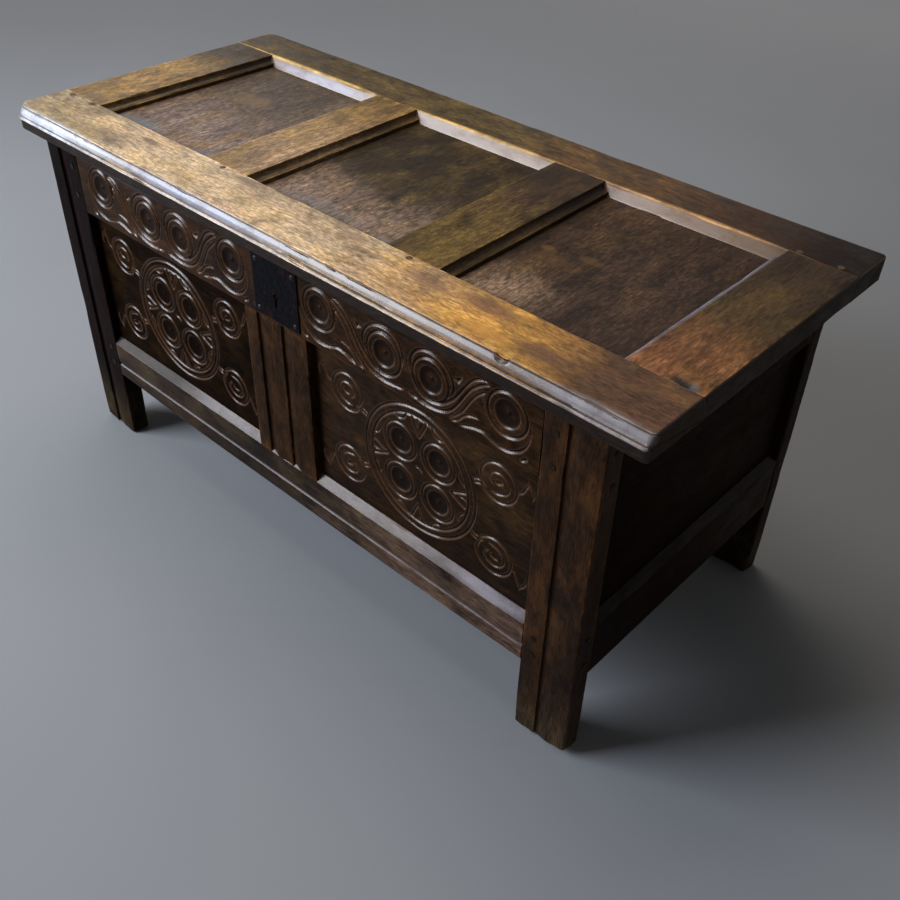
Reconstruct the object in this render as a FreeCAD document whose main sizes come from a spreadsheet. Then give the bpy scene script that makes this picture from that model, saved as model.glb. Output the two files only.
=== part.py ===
import FreeCAD, Part
import math
import os
import Sketcher

# Joined oak coffer with a framed, panelled lid on two strap hinges and a box lock.
# Millimetres. X runs along the chest, Y from the front to the back, Z up from the floor.
# The origin lies on the floor under the middle of the whole object's box.

SIZES = {
    # whole chest
    "overall_height": 585,
    "carcase_length": 1092,
    "carcase_depth": 507,
    "lid_seat_gap": 0.4,
    # carcase frames
    "foot_height": 128,
    "end_rail_lift": 147,
    "stile_width": 86,
    "stile_thickness": 32,
    "rail_thickness": 30,
    "top_rail_height": 107,
    "bottom_rail_height": 82,
    "end_bottom_rail_height": 100,
    "muntin_width": 130,
    "muntin_thickness": 28,
    "stile_channel_width": 18,
    "muntin_channel_width": 18,
    "muntin_channel_spread": 50,
    "channel_depth": 3,
    "panel_recess": 12,
    "plough_width": 10,
    "groove_depth": 10,
    "panel_tongue": 9,
    "bevel_width": 11,
    "bevel_height": 12,
    # carcase joints
    "rail_tenon": 50,
    "end_tenon": 24,
    "muntin_upper_tenon": 25,
    "muntin_lower_tenon": 30,
    "tenon_shoulder": 10,
    "top_haunch": 20,
    "mortise_room": 1,
    # floor boards
    "board_lift": 160,
    "board_thickness": 14,
    "board_groove": 7,
    "board_gap": 0.6,
    # pegs
    "peg_radius": 4.5,
    "peg_length": 28,
    "peg_proud": 0.6,
    "peg_margin": 18,
    "peg_end_margin": 15,
    "end_peg_margin": 13,
    "muntin_peg_spread": 80,
    "muntin_upper_peg": 12.5,
    "muntin_lower_peg": 18,
    "bore_fit": 0.1,
    # lid
    "lid_end_overhang": 54,
    "lid_thickness": 33,
    "lid_front_overhang": 18,
    "lid_back_inset": 2,
    "lid_front_rail_width": 98.5,
    "lid_back_rail_width": 79,
    "lid_end_rail_width": 97,
    "lid_muntin_width": 90,
    "lid_outer_field": 274,
    "lid_panel_recess": 16,
    "lid_panel_thickness": 10,
    "lid_groove_depth": 9,
    "lid_panel_tongue": 8,
    "lid_bevel_width": 11,
    "lid_tenon": 40,
    "lid_tenon_margin": 14,
    "lid_peg_margin": 17,
    "lid_peg_inset": 28,
    "lid_peg_spread": 56,
    "lid_peg_length": 30,
    "lid_moulding_width": 12,
    "lid_moulding_step": 10,
    "lid_moulding_fillet": 4,
    # nosing of the lid's front rail
    "nosing_width": 10.4,
    "nosing_drop": 16,
    "nosing_fillet": 1.5,
    "nosing_quirk": 2,
    # strap hinges
    "hinge_inset": 63,
    "strap_width": 28,
    "strap_thickness": 3,
    "strap_point": 16,
    "lid_strap_length": 78,
    "back_strap_length": 85,
    "barrel_radius": 5.5,
    "barrel_gap": 0.3,
    "centre_knuckle": 10,
    "knuckle_gap": 0.3,
    "hinge_pin_radius": 3,
    "hinge_pin_fit": 0.05,
    "hinge_pin_run": 0.08,
    "hinge_pin_head_radius": 4.2,
    "hinge_pin_head": 1.5,
    "strap_room": 0.4,
    "back_slot_room": 1,
    # nails
    "nail_radius": 1.6,
    "nail_head_radius": 4,
    "nail_crown_radius": 2.4,
    "nail_head": 1.2,
    "strap_nail_pitch": 22,
    "strap_first_nail": 18,
    "back_nail_length": 26,
    # lock
    "lock_offset": 10,
    "lock_plate_width": 90,
    "lock_plate_height": 90,
    "lock_plate_drop": 11.6,
    "lock_plate_thickness": 1.5,
    "lock_nail_inset": 8,
    "lock_nail_length": 10,
    "keyhole_drop": 63.6,
    "keyhole_radius": 4.5,
    "keyhole_slot_width": 4,
    "keyhole_slot_drop": 16,
    "case_width": 90,
    "case_depth": 22,
    "case_drop": 5.6,
    "case_height": 84,
    "case_wall": 2,
    "case_ear": 11,
    "case_ear_rise": 28,
    "case_ear_height": 30,
    "bolt_drop": 21,
    "bolt_height": 10,
    "bolt_thickness": 5,
    "bolt_tail": 40,
    "bolt_tip": 6,
    "bolt_room": 0.3,
    "bolt_talon_width": 7,
    "bolt_talon_depth": 3,
    "guide_thickness": 6,
    "tail_guide": 24,
    "tip_guide": 4,
    "staple_set": 12,
    "staple_thickness": 4,
    "staple_width": 14,
    "staple_room": 1.25,
    "staple_toe": 4,
    "staple_foot_length": 44,
    "staple_foot_thickness": 2.5,
    "staple_foot_gap": 1.5,
    "staple_slot_room": 3,
    "staple_nail_spread": 32,
    "staple_nail_length": 22,
}

FLOOR_BOARDS = 5

doc = FreeCAD.newDocument("coffer")
sheet = doc.addObject("Spreadsheet::Sheet", "Sizes")
for row, (alias, number) in enumerate(SIZES.items(), start=1):
    sheet.set(f"A{row}", str(number))
    sheet.setAlias(f"A{row}", alias)
doc.recompute()


class Size:
    """A length that is known both as a formula of the sheet's cells and as a number."""

    def __init__(self, formula, number):
        self.formula = formula
        self.number = number

    def __add__(self, other):
        other = as_size(other)
        return Size(f"({self.formula} + {other.formula})", self.number + other.number)

    def __sub__(self, other):
        other = as_size(other)
        return Size(f"({self.formula} - {other.formula})", self.number - other.number)

    def __mul__(self, factor):
        return Size(f"({self.formula} * {factor})", self.number * factor)

    def __truediv__(self, divisor):
        return Size(f"({self.formula} / {divisor})", self.number / divisor)

    def __neg__(self):
        return Size(f"(0 - {self.formula})", -self.number)


def as_size(value):
    """Let a plain number stand in a formula."""
    return value if isinstance(value, Size) else Size(str(value), float(value))


class Cells:
    """The sheet's cells by name, as in S.stile_width."""

    def __getattr__(self, alias):
        return Size(f"Sizes.{alias}", float(SIZES[alias]))


S = Cells()
ZERO = as_size(0)

# levels above the floor
lid_underside = S.overall_height - S.lid_thickness
carcase_top = lid_underside - S.lid_seat_gap
top_rail_foot = carcase_top - S.top_rail_height
bottom_rail_top = S.foot_height + S.bottom_rail_height
end_bottom_rail_top = S.end_rail_lift + S.end_bottom_rail_height
lid_panel_top = S.overall_height - S.lid_panel_recess
lid_panel_foot = lid_panel_top - S.lid_panel_thickness

# distances from the middle of the chest along X
half_length = S.carcase_length / 2
stile_edge = half_length - S.stile_width
lid_end = half_length + S.lid_end_overhang
lid_end_rail_edge = lid_end - S.lid_end_rail_width
lid_muntin_middle = lid_end_rail_edge - S.lid_outer_field - S.lid_muntin_width / 2
hinge_middle = stile_edge - S.hinge_inset

# depths behind the carcase's front face
plough_front = S.panel_recess
plough_back = plough_front + S.plough_width
lid_front = -S.lid_front_overhang
lid_back = S.carcase_depth - S.lid_back_inset
lid_front_arris = lid_front + S.lid_front_rail_width
lid_back_arris = lid_back - S.lid_back_rail_width
lid_front_shoulder = lid_front_arris + S.lid_bevel_width
lid_back_shoulder = lid_back_arris - S.lid_bevel_width
hinge_axis_depth = S.carcase_depth + S.barrel_radius + S.barrel_gap
hinge_axis_height = lid_underside - S.barrel_radius

# Y of the carcase's front face, which puts the origin under the middle of the whole object
front_face = -(lid_front + hinge_axis_depth + S.barrel_radius) / 2

TURNS = {
    "+x": FreeCAD.Rotation(FreeCAD.Vector(0, 1, 0), 90),
    "-x": FreeCAD.Rotation(FreeCAD.Vector(0, 1, 0), -90),
    "+y": FreeCAD.Rotation(FreeCAD.Vector(1, 0, 0), -90),
    "-y": FreeCAD.Rotation(FreeCAD.Vector(1, 0, 0), 90),
    "+z": FreeCAD.Rotation(),
    "-z": FreeCAD.Rotation(FreeCAD.Vector(1, 0, 0), 180),
}
HEADINGS = {"x": (1, 0, 0), "y": (0, 1, 0), "z": (0, 0, 1)}

pieces = []


# ---------------------------------------------------------------- tools for making shapes

def tie(thing, path, size):
    """Bind one property of an object to the sheet."""
    thing.setExpression(path, as_size(size).formula)


def place(thing, x, depth, z):
    """Put an object at a distance from the middle, a depth behind the front face and a height."""
    tie(thing, "Placement.Base.x", x)
    tie(thing, "Placement.Base.y", front_face + depth)
    tie(thing, "Placement.Base.z", z)


def slab(name, across, deep, up, left=False, rear=False):
    """Block between two planes each way. left mirrors it to the left, rear to the back frame."""
    across = [as_size(edge) for edge in across]
    deep = [as_size(edge) for edge in deep]
    up = [as_size(edge) for edge in up]
    if left:
        across = [-across[1], -across[0]]
    if rear:
        deep = [S.carcase_depth - deep[1], S.carcase_depth - deep[0]]
    block = doc.addObject("Part::Box", name)
    tie(block, "Length", across[1] - across[0])
    tie(block, "Width", deep[1] - deep[0])
    tie(block, "Height", up[1] - up[0])
    place(block, across[0], deep[0], up[0])
    return block


def rod(name, radius, length, start, heading):
    """Round bar from a point (x, depth, z) in one of the six headings."""
    bar = doc.addObject("Part::Cylinder", name)
    tie(bar, "Radius", radius)
    tie(bar, "Height", length)
    bar.Placement = FreeCAD.Placement(FreeCAD.Vector(), TURNS[heading])
    place(bar, *start)
    return bar


def fuse(name, solids):
    """Join solids into one piece of material."""
    if len(solids) == 1:
        return solids[0]
    joined = doc.addObject("Part::MultiFuse", name)
    joined.Shapes = solids
    joined.Refine = True
    return joined


def group(name, solids):
    """Keep solids apart but handle them as one object."""
    together = doc.addObject("Part::Compound", name)
    together.Links = solids
    return together


def cut(name, solid, tools):
    """Take every tool away from a solid."""
    for number, tool in enumerate(tools, start=1):
        reduced = doc.addObject("Part::Cut", f"{name}_cut_{number}")
        reduced.Base = solid
        reduced.Tool = tool
        reduced.Refine = True
        solid = reduced
    return solid


def piece(label, solid):
    """Name a finished piece of the chest."""
    solid.Label = label
    pieces.append(solid)
    return solid


def arc_centre(start, end, centre_u):
    """Centre of the arc between two points, from its first coordinate."""
    rise = start[1] - end[1]
    left = start[1] ** 2 - end[1] ** 2
    reach = (start[0] - centre_u) ** 2 - (end[0] - centre_u) ** 2
    return centre_u, (left + reach) / (2 * rise)


def outline(body, plane, corners):
    """Closed sketch through corners (u, v). A third value makes the edge to that corner an arc,
    and is the first coordinate of its centre."""
    sketch = body.newObject("Sketcher::SketchObject", body.Name + "_outline")
    origin_plane = [feature for feature in body.Origin.OriginFeatures if feature.Role == plane]
    sketch.AttachmentSupport = [(origin_plane[0], "")]
    sketch.MapMode = "FlatFace"
    points = [(as_size(corner[0]).number, as_size(corner[1]).number) for corner in corners]
    starts = []
    ends = []
    for index, corner in enumerate(corners):
        start, end = points[index - 1], points[index]
        if len(corner) == 2:
            edge = Part.LineSegment(FreeCAD.Vector(*start, 0), FreeCAD.Vector(*end, 0))
            forward = True
        else:
            centre = arc_centre(start, end, as_size(corner[2]).number)
            radius = math.dist(centre, start)
            first = math.atan2(start[1] - centre[1], start[0] - centre[0])
            last = math.atan2(end[1] - centre[1], end[0] - centre[0])
            forward = (last - first) % (2 * math.pi) < math.pi
            circle = Part.Circle(FreeCAD.Vector(*centre, 0), FreeCAD.Vector(0, 0, 1), radius)
            edge = Part.ArcOfCircle(circle, *((first, last) if forward else (last, first)))
        sketch.addGeometry(edge, False)
        starts.append(1 if forward else 2)
        ends.append(2 if forward else 1)
    for index, corner in enumerate(corners):
        following = (index + 1) % len(corners)
        sketch.addConstraint(Sketcher.Constraint(
            "Coincident", index, ends[index], following, starts[following]))
        for kind, size in (("DistanceX", corner[0]), ("DistanceY", corner[1])):
            number = sketch.addConstraint(Sketcher.Constraint(
                kind, -1, 1, index, ends[index], as_size(size).number))
            tie(sketch, f"Constraints[{number}]", size)
        if len(corner) == 3:
            number = sketch.addConstraint(Sketcher.Constraint(
                "DistanceX", -1, 1, index, 3, as_size(corner[2]).number))
            tie(sketch, f"Constraints[{number}]", corner[2])
    return sketch


def prism(name, plane, corners, span, offset=(ZERO, ZERO, ZERO)):
    """Outline carried straight along the axis square to its plane, over a span of that axis.
    YZ outlines give (depth, z), XZ outlines (x, z) and XY outlines (x, depth)."""
    body = doc.addObject("PartDesign::Body", name)
    sketch = outline(body, plane, corners)
    pad = body.newObject("PartDesign::Pad", name + "_pad")
    pad.Profile = sketch
    tie(pad, "Length", span[1] - span[0])
    pad.Reversed = plane == "XZ_Plane"
    starts = {
        "YZ_Plane": (span[0], ZERO, ZERO),
        "XZ_Plane": (ZERO, span[0], ZERO),
        "XY_Plane": (ZERO, ZERO, span[0]),
    }
    place(body, *(start + shift for start, shift in zip(starts[plane], offset)))
    return body


def outward(spot, heading, distance):
    """Point moved back out of the surface that something is driven into."""
    sign = 1 if heading[0] == "+" else -1
    steps = HEADINGS[heading[1]]
    return tuple(where - distance * (sign * step) for where, step in zip(spot, steps))


def pegs(label, spots, length):
    """Round oak pegs driven in at spots (x, depth, z, heading, how far they stand proud), and the
    bores that hold them."""
    made = []
    bores = []
    for number, (x, depth, z, heading, proud) in enumerate(spots, start=1):
        start = outward((x, depth, z), heading, proud)
        made.append(rod(f"{label}_{number}", S.peg_radius, length + proud, start, heading))
        bores.append(rod(f"{label}_bore_{number}", S.peg_radius + S.bore_fit,
                         length + S.mortise_room + proud, start, heading))
    piece(label, group(label, made))
    return group(label + "_bores", bores)


def nails(label, spots, length):
    """Iron nails with low faceted heads at spots (x, depth, z, heading), and their bores."""
    made = []
    bores = []
    for number, (x, depth, z, heading) in enumerate(spots, start=1):
        name = f"{label}_{number}"
        spot = (x, depth, z)
        head = doc.addObject("Part::Cone", name + "_head")
        tie(head, "Radius1", S.nail_crown_radius)
        tie(head, "Radius2", S.nail_head_radius)
        tie(head, "Height", S.nail_head)
        head.Placement = FreeCAD.Placement(FreeCAD.Vector(), TURNS[heading])
        place(head, *outward(spot, heading, S.nail_head))
        shank = rod(name + "_shank", S.nail_radius, length, spot, heading)
        made.append(fuse(name, [head, shank]))
        bores.append(rod(name + "_bore", S.nail_radius + S.bore_fit,
                         length + S.mortise_room, spot, heading))
    piece(label, group(label, made))
    return group(label + "_bores", bores)


# ---------------------------------------------------------------- pegs of the carcase

top_tenon = (top_rail_foot + S.groove_depth, carcase_top - S.top_haunch)
bottom_tenon = (S.foot_height + S.tenon_shoulder, bottom_rail_top - S.groove_depth)
end_bottom_tenon = (S.end_rail_lift + S.tenon_shoulder, end_bottom_rail_top - S.groove_depth)


def peg_levels(tenon):
    """Heights of the two pegs through a rail's tenon."""
    return tenon[0] + S.peg_end_margin, tenon[1] - S.peg_end_margin


def long_frame_pegs(rear):
    """Peg spots of the front or back frame, driven in from its outer face."""
    face = S.carcase_depth if rear else ZERO
    heading = "-y" if rear else "+y"
    column = stile_edge + S.peg_margin
    spots = []
    for level in peg_levels(top_tenon) + peg_levels(bottom_tenon):
        spots.append((-column, face, level, heading, S.peg_proud))
        spots.append((column, face, level, heading, S.peg_proud))
    muntin_column = S.muntin_peg_spread / 2
    for level in (top_rail_foot + S.muntin_upper_peg, bottom_rail_top - S.muntin_lower_peg):
        spots.append((-muntin_column, face, level, heading, ZERO))
        spots.append((muntin_column, face, level, heading, ZERO))
    return spots


def end_frame_pegs(left):
    """Peg spots of an end frame, driven in from the outer sides of the stiles."""
    face = -half_length if left else half_length
    heading = "+x" if left else "-x"
    column = S.stile_thickness - S.end_peg_margin
    spots = []
    for level in peg_levels(top_tenon) + peg_levels(end_bottom_tenon):
        spots.append((face, column, level, heading, S.peg_proud))
        spots.append((face, S.carcase_depth - column, level, heading, S.peg_proud))
    return spots


front_bores = pegs("front_pegs", long_frame_pegs(rear=False), S.peg_length)
back_bores = pegs("back_pegs", long_frame_pegs(rear=True), S.peg_length)
left_bores = pegs("left_end_pegs", end_frame_pegs(left=True), S.peg_length)
right_bores = pegs("right_end_pegs", end_frame_pegs(left=False), S.peg_length)

# ---------------------------------------------------------------- keyhole and lock nails

keyhole_level = carcase_top - S.keyhole_drop
keyhole_reach = S.rail_thickness + S.lock_plate_thickness + S.mortise_room * 2
keyhole_mouth = -S.lock_plate_thickness - S.mortise_room
keyhole_eye = rod("keyhole_eye", S.keyhole_radius, keyhole_reach,
                  (S.lock_offset, keyhole_mouth, keyhole_level), "+y")
keyhole_slot = slab("keyhole_slot",
                    (S.lock_offset - S.keyhole_slot_width / 2, S.lock_offset + S.keyhole_slot_width / 2),
                    (keyhole_mouth, keyhole_mouth + keyhole_reach),
                    (keyhole_level - S.keyhole_slot_drop, keyhole_level))
keyhole = fuse("keyhole", [keyhole_eye, keyhole_slot])

plate_edges = (S.lock_offset - S.lock_plate_width / 2, S.lock_offset + S.lock_plate_width / 2)
plate_top = carcase_top - S.lock_plate_drop
plate_levels = (plate_top - S.lock_plate_height, plate_top)
plate_nail_spots = [
    (x, -S.lock_plate_thickness, z, "+y")
    for x in (plate_edges[0] + S.lock_nail_inset, plate_edges[1] - S.lock_nail_inset)
    for z in (plate_levels[0] + S.lock_nail_inset, plate_levels[1] - S.lock_nail_inset)
]
plate_bores = nails("lock_plate_nails", plate_nail_spots, S.lock_nail_length)

case_half = S.case_width / 2
ear_column = case_half + S.case_ear / 2
case_top = carcase_top - S.case_drop
case_levels = (case_top - S.case_height, case_top)
ear_foot = case_levels[0] + S.case_ear_rise
ear_top = ear_foot + S.case_ear_height
case_nail_spots = [
    (S.lock_offset + side, S.rail_thickness + S.case_wall, z, "-y")
    for side in (-ear_column, ear_column)
    for z in (ear_foot + S.lock_nail_inset, ear_top - S.lock_nail_inset)
]
case_bores = nails("lock_case_nails", case_nail_spots, S.lock_nail_length)

# ---------------------------------------------------------------- front and back frames


def stile(label, left, rear):
    """Corner post that runs down as the foot, ploughed and mortised for two frames."""
    groove = (plough_front, plough_back)
    side_groove = (half_length - plough_back, half_length - plough_front)
    mortise_end = stile_edge + S.rail_tenon + S.mortise_room
    end_mortise_front = S.stile_thickness - S.end_tenon - S.mortise_room
    name = label

    def part(suffix, across, deep, up):
        return slab(f"{name}_{suffix}", across, deep, up, left, rear)

    post = part("post", (stile_edge, half_length), (ZERO, S.stile_thickness), (ZERO, carcase_top))
    hollows = [
        part("groove", (stile_edge, stile_edge + S.groove_depth), groove,
             (bottom_rail_top - S.groove_depth, top_rail_foot + S.groove_depth)),
        part("top_mortise", (stile_edge, mortise_end), groove, top_tenon),
        part("bottom_mortise", (stile_edge, mortise_end), groove, bottom_tenon),
        part("end_groove", side_groove, (S.stile_thickness - S.groove_depth, S.stile_thickness),
             (end_bottom_rail_top - S.groove_depth, top_rail_foot + S.groove_depth)),
        part("end_top_mortise", side_groove, (end_mortise_front, S.stile_thickness), top_tenon),
        part("end_bottom_mortise", side_groove, (end_mortise_front, S.stile_thickness),
             end_bottom_tenon),
    ]
    if not rear:
        middle = half_length - S.stile_width / 2
        hollows.append(part(
            "channel", (middle - S.stile_channel_width / 2, middle + S.stile_channel_width / 2),
            (ZERO, S.channel_depth), (ZERO, carcase_top)))
    joints = [fuse(name + "_hollows", hollows), back_bores if rear else front_bores,
              left_bores if left else right_bores]
    return piece(label, cut(name, post, joints))


def top_rail(label, rear, extra_cuts):
    """Upper rail between two stiles, with a tenon at each end and a groove for the panels."""
    groove = (plough_front, plough_back)
    tenon_end = stile_edge + S.rail_tenon
    muntin_tenon = S.muntin_width / 2 - S.groove_depth
    timber = fuse(label + "_timber", [
        slab(label + "_body", (-stile_edge, stile_edge), (ZERO, S.rail_thickness),
             (top_rail_foot, carcase_top), rear=rear),
        slab(label + "_tenons", (-tenon_end, tenon_end), groove, top_tenon, rear=rear),
    ])
    hollows = fuse(label + "_hollows", [
        slab(label + "_groove", (-stile_edge, stile_edge), groove,
             (top_rail_foot, top_rail_foot + S.groove_depth), rear=rear),
        slab(label + "_mortise", (-muntin_tenon, muntin_tenon), groove,
             (top_rail_foot, top_rail_foot + S.muntin_upper_tenon + S.mortise_room), rear=rear),
    ])
    bores = back_bores if rear else front_bores
    return piece(label, cut(label, timber, [hollows, bores] + extra_cuts))


def bevel(name, span_x, rail_top):
    """Wedge over the sloping front edge of a bottom rail, in the plane (depth, z)."""
    corners = [
        (ZERO, rail_top - S.bevel_height),
        (S.bevel_width, rail_top),
        (ZERO, rail_top),
    ]
    return prism(name, "YZ_Plane", corners, span_x)


def bottom_rail(label, rear):
    """Lower rail between two stiles. It carries the panels above and the floor boards inside."""
    groove = (plough_front, plough_back)
    tenon_end = stile_edge + S.rail_tenon
    muntin_tenon = S.muntin_width / 2 - S.groove_depth
    timber = fuse(label + "_timber", [
        slab(label + "_body", (-stile_edge, stile_edge), (ZERO, S.rail_thickness),
             (S.foot_height, bottom_rail_top), rear=rear),
        slab(label + "_tenons", (-tenon_end, tenon_end), groove, bottom_tenon, rear=rear),
    ])
    hollows = fuse(label + "_hollows", [
        slab(label + "_groove", (-stile_edge, stile_edge), groove,
             (bottom_rail_top - S.groove_depth, bottom_rail_top), rear=rear),
        slab(label + "_mortise", (-muntin_tenon, muntin_tenon), groove,
             (bottom_rail_top - S.muntin_lower_tenon - S.mortise_room, bottom_rail_top), rear=rear),
        slab(label + "_board_groove", (-stile_edge, stile_edge),
             (S.rail_thickness - S.board_groove, S.rail_thickness),
             (S.board_lift, S.board_lift + S.board_thickness), rear=rear),
    ])
    cuts = [hollows, back_bores if rear else front_bores]
    if not rear:
        cuts.append(bevel(label + "_bevel", (-stile_edge, stile_edge), bottom_rail_top))
    return piece(label, cut(label, timber, cuts))


def muntin(label, rear):
    """Middle upright between the two panels, tenoned above and below."""
    half = S.muntin_width / 2
    groove = (plough_front, plough_back)
    solids = [
        slab(label + "_body", (-half, half), (ZERO, S.muntin_thickness),
             (bottom_rail_top, top_rail_foot), rear=rear),
        slab(label + "_tenons", (-half + S.groove_depth, half - S.groove_depth), groove,
             (bottom_rail_top - S.muntin_lower_tenon, top_rail_foot + S.muntin_upper_tenon),
             rear=rear),
    ]
    channels = []
    if not rear:
        solids.append(bevel(label + "_foot", (-half, half), bottom_rail_top))
        for number, side in enumerate((-1, 1), start=1):
            middle = S.muntin_channel_spread * (side / 2)
            channels.append(slab(
                f"{label}_channel_{number}",
                (middle - S.muntin_channel_width / 2, middle + S.muntin_channel_width / 2),
                (ZERO, S.channel_depth), (bottom_rail_top - S.bevel_height, top_rail_foot)))
    grooves = [
        slab(f"{label}_groove_{number}", (half - S.groove_depth, half), groove,
             (bottom_rail_top, top_rail_foot), left=left, rear=rear)
        for number, left in enumerate((True, False), start=1)
    ]
    hollows = fuse(label + "_hollows", grooves + channels)
    timber = fuse(label + "_timber", solids)
    return piece(label, cut(label, timber, [hollows, back_bores if rear else front_bores]))


def long_panel(label, left, rear):
    """Panel between a stile and the muntin, held by its tongue all round."""
    panel = slab(label + "_board",
                 (S.muntin_width / 2 - S.panel_tongue, stile_edge + S.panel_tongue),
                 (plough_front, plough_back),
                 (bottom_rail_top - S.panel_tongue, top_rail_foot + S.panel_tongue), left, rear)
    return piece(label, panel)


strap_half = S.strap_width / 2
hinge_middles = (-hinge_middle, hinge_middle)
SIDES = ("left", "right")

strap_notches = group("strap_notches", [
    slab(f"{side}_strap_notch",
         (middle - strap_half - S.strap_room, middle + strap_half + S.strap_room),
         (S.carcase_depth - S.rail_thickness, S.carcase_depth),
         (lid_underside - S.strap_thickness - S.strap_room, carcase_top))
    for side, middle in zip(SIDES, hinge_middles)
])

first_back_nail = hinge_axis_height - S.strap_first_nail
back_nail_spots = [
    (middle, S.carcase_depth + S.strap_thickness, first_back_nail - S.strap_nail_pitch * number, "-y")
    for middle in hinge_middles for number in range(3)
]
back_strap_bores = nails("hinge_back_nails", back_nail_spots, S.back_nail_length)

for side in SIDES:
    stile(f"front_{side}_stile", side == "left", rear=False)
    stile(f"back_{side}_stile", side == "left", rear=True)
    long_panel(f"front_{side}_panel", side == "left", rear=False)
    long_panel(f"back_{side}_panel", side == "left", rear=True)

top_rail("front_top_rail", False, [keyhole, plate_bores, case_bores])
top_rail("back_top_rail", True, [strap_notches, back_strap_bores])
bottom_rail("front_bottom_rail", rear=False)
bottom_rail("back_bottom_rail", rear=True)
muntin("front_muntin", rear=False)
muntin("back_muntin", rear=True)

# ---------------------------------------------------------------- end frames and floor

side_plough = (half_length - plough_back, half_length - plough_front)
end_span = (S.stile_thickness, S.carcase_depth - S.stile_thickness)
end_tenon_span = (S.stile_thickness - S.end_tenon, S.carcase_depth - S.stile_thickness + S.end_tenon)
end_panel_span = (S.stile_thickness - S.panel_tongue,
                  S.carcase_depth - S.stile_thickness + S.panel_tongue)
board_reach = S.rail_thickness - S.board_groove


def end_rail(label, left, levels, tenon, groove_levels, bores):
    """Rail between a front and a back stile."""
    timber = fuse(label + "_timber", [
        slab(label + "_body", (half_length - S.rail_thickness, half_length), end_span, levels, left),
        slab(label + "_tenons", side_plough, end_tenon_span, tenon, left),
    ])
    groove = slab(label + "_groove", side_plough, end_span, groove_levels, left)
    return cut(label, timber, [groove, bores])


for side in SIDES:
    left = side == "left"
    bores = left_bores if left else right_bores
    label = f"{side}_end_top_rail"
    piece(label, end_rail(label, left, (top_rail_foot, carcase_top), top_tenon,
                          (top_rail_foot, top_rail_foot + S.groove_depth), bores))

    label = f"{side}_end_bottom_rail"
    rail = end_rail(label, left, (S.end_rail_lift, end_bottom_rail_top), end_bottom_tenon,
                    (end_bottom_rail_top - S.groove_depth, end_bottom_rail_top), bores)
    sign = -1 if left else 1
    slope = prism(label + "_bevel", "XZ_Plane", [
        (half_length * sign, end_bottom_rail_top - S.bevel_height),
        (half_length * sign, end_bottom_rail_top),
        ((half_length - S.bevel_width) * sign, end_bottom_rail_top),
    ], end_span)
    ledge = slab(label + "_board_groove",
                 (half_length - S.rail_thickness, half_length - board_reach), end_span,
                 (S.board_lift, S.board_lift + S.board_thickness), left)
    piece(label, cut(label + "_dressed", rail, [slope, ledge]))

    label = f"{side}_end_panel"
    piece(label, slab(label + "_board", side_plough, end_panel_span,
                      (end_bottom_rail_top - S.panel_tongue, top_rail_foot + S.panel_tongue), left))

floor_half = half_length - board_reach - S.mortise_room
floor_span = (board_reach + S.mortise_room, S.carcase_depth - board_reach - S.mortise_room)
floor_levels = (S.board_lift, S.board_lift + S.board_thickness)
board_width = (floor_half * 2 - S.board_gap * (FLOOR_BOARDS - 1)) / FLOOR_BOARDS

for number in range(FLOOR_BOARDS):
    label = f"bottom_board_{number + 1}"
    start = (board_width + S.board_gap) * number - floor_half
    board = slab(label + "_board", (start, start + board_width), floor_span, floor_levels)
    if number in (0, FLOOR_BOARDS - 1):
        notches = [
            slab(f"{label}_{where}_notch", (stile_edge - S.mortise_room, half_length),
                 (ZERO, S.stile_thickness + S.mortise_room), floor_levels, number == 0, rear)
            for where, rear in (("front", False), ("back", True))
        ]
        board = cut(label, board, [fuse(label + "_notches", notches)])
    piece(label, board)

# ---------------------------------------------------------------- lid

lid_tenon_levels = (lid_panel_foot, lid_panel_top)
lid_columns = {
    "left_end_rail": (-lid_end, -lid_end_rail_edge),
    "left_muntin": (-lid_muntin_middle - S.lid_muntin_width / 2,
                    -lid_muntin_middle + S.lid_muntin_width / 2),
    "right_muntin": (lid_muntin_middle - S.lid_muntin_width / 2,
                     lid_muntin_middle + S.lid_muntin_width / 2),
    "right_end_rail": (lid_end_rail_edge, lid_end),
}
lid_tenons = {
    "left_end_rail": (-lid_end + S.lid_tenon_margin, -lid_end_rail_edge),
    "left_muntin": lid_columns["left_muntin"],
    "right_muntin": lid_columns["right_muntin"],
    "right_end_rail": (lid_end_rail_edge, lid_end - S.lid_tenon_margin),
}
front_peg_depth = lid_front_shoulder - S.lid_peg_margin
back_peg_depth = lid_back_shoulder + S.lid_peg_margin
lid_peg_columns = (
    -lid_end + S.lid_peg_inset, -lid_end + S.lid_peg_inset + S.lid_peg_spread, -lid_muntin_middle,
    lid_muntin_middle, lid_end - S.lid_peg_inset - S.lid_peg_spread, lid_end - S.lid_peg_inset)
lid_bores = pegs("lid_pegs", [
    (x, depth, S.overall_height, "-z", ZERO)
    for depth in (front_peg_depth, back_peg_depth) for x in lid_peg_columns
], S.lid_peg_length)

strap_front = S.carcase_depth - S.lid_strap_length
lid_nail_depths = (strap_front + S.strap_point, strap_front + S.strap_point + S.strap_nail_pitch)
lid_nail_bores = nails("hinge_lid_nails", [
    (middle, depth, lid_underside - S.strap_thickness, "+z")
    for middle in hinge_middles for depth in lid_nail_depths
], S.lid_thickness + S.strap_thickness)

staple_middle = S.lock_offset + S.staple_set
staple_depth = S.rail_thickness + (S.case_depth - S.case_wall) / 2
staple_bores = nails("lid_staple_nails", [
    (staple_middle + S.staple_nail_spread * (side / 2), staple_depth,
     lid_underside - S.staple_foot_thickness, "+z")
    for side in (-1, 1)
], S.staple_nail_length)


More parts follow.
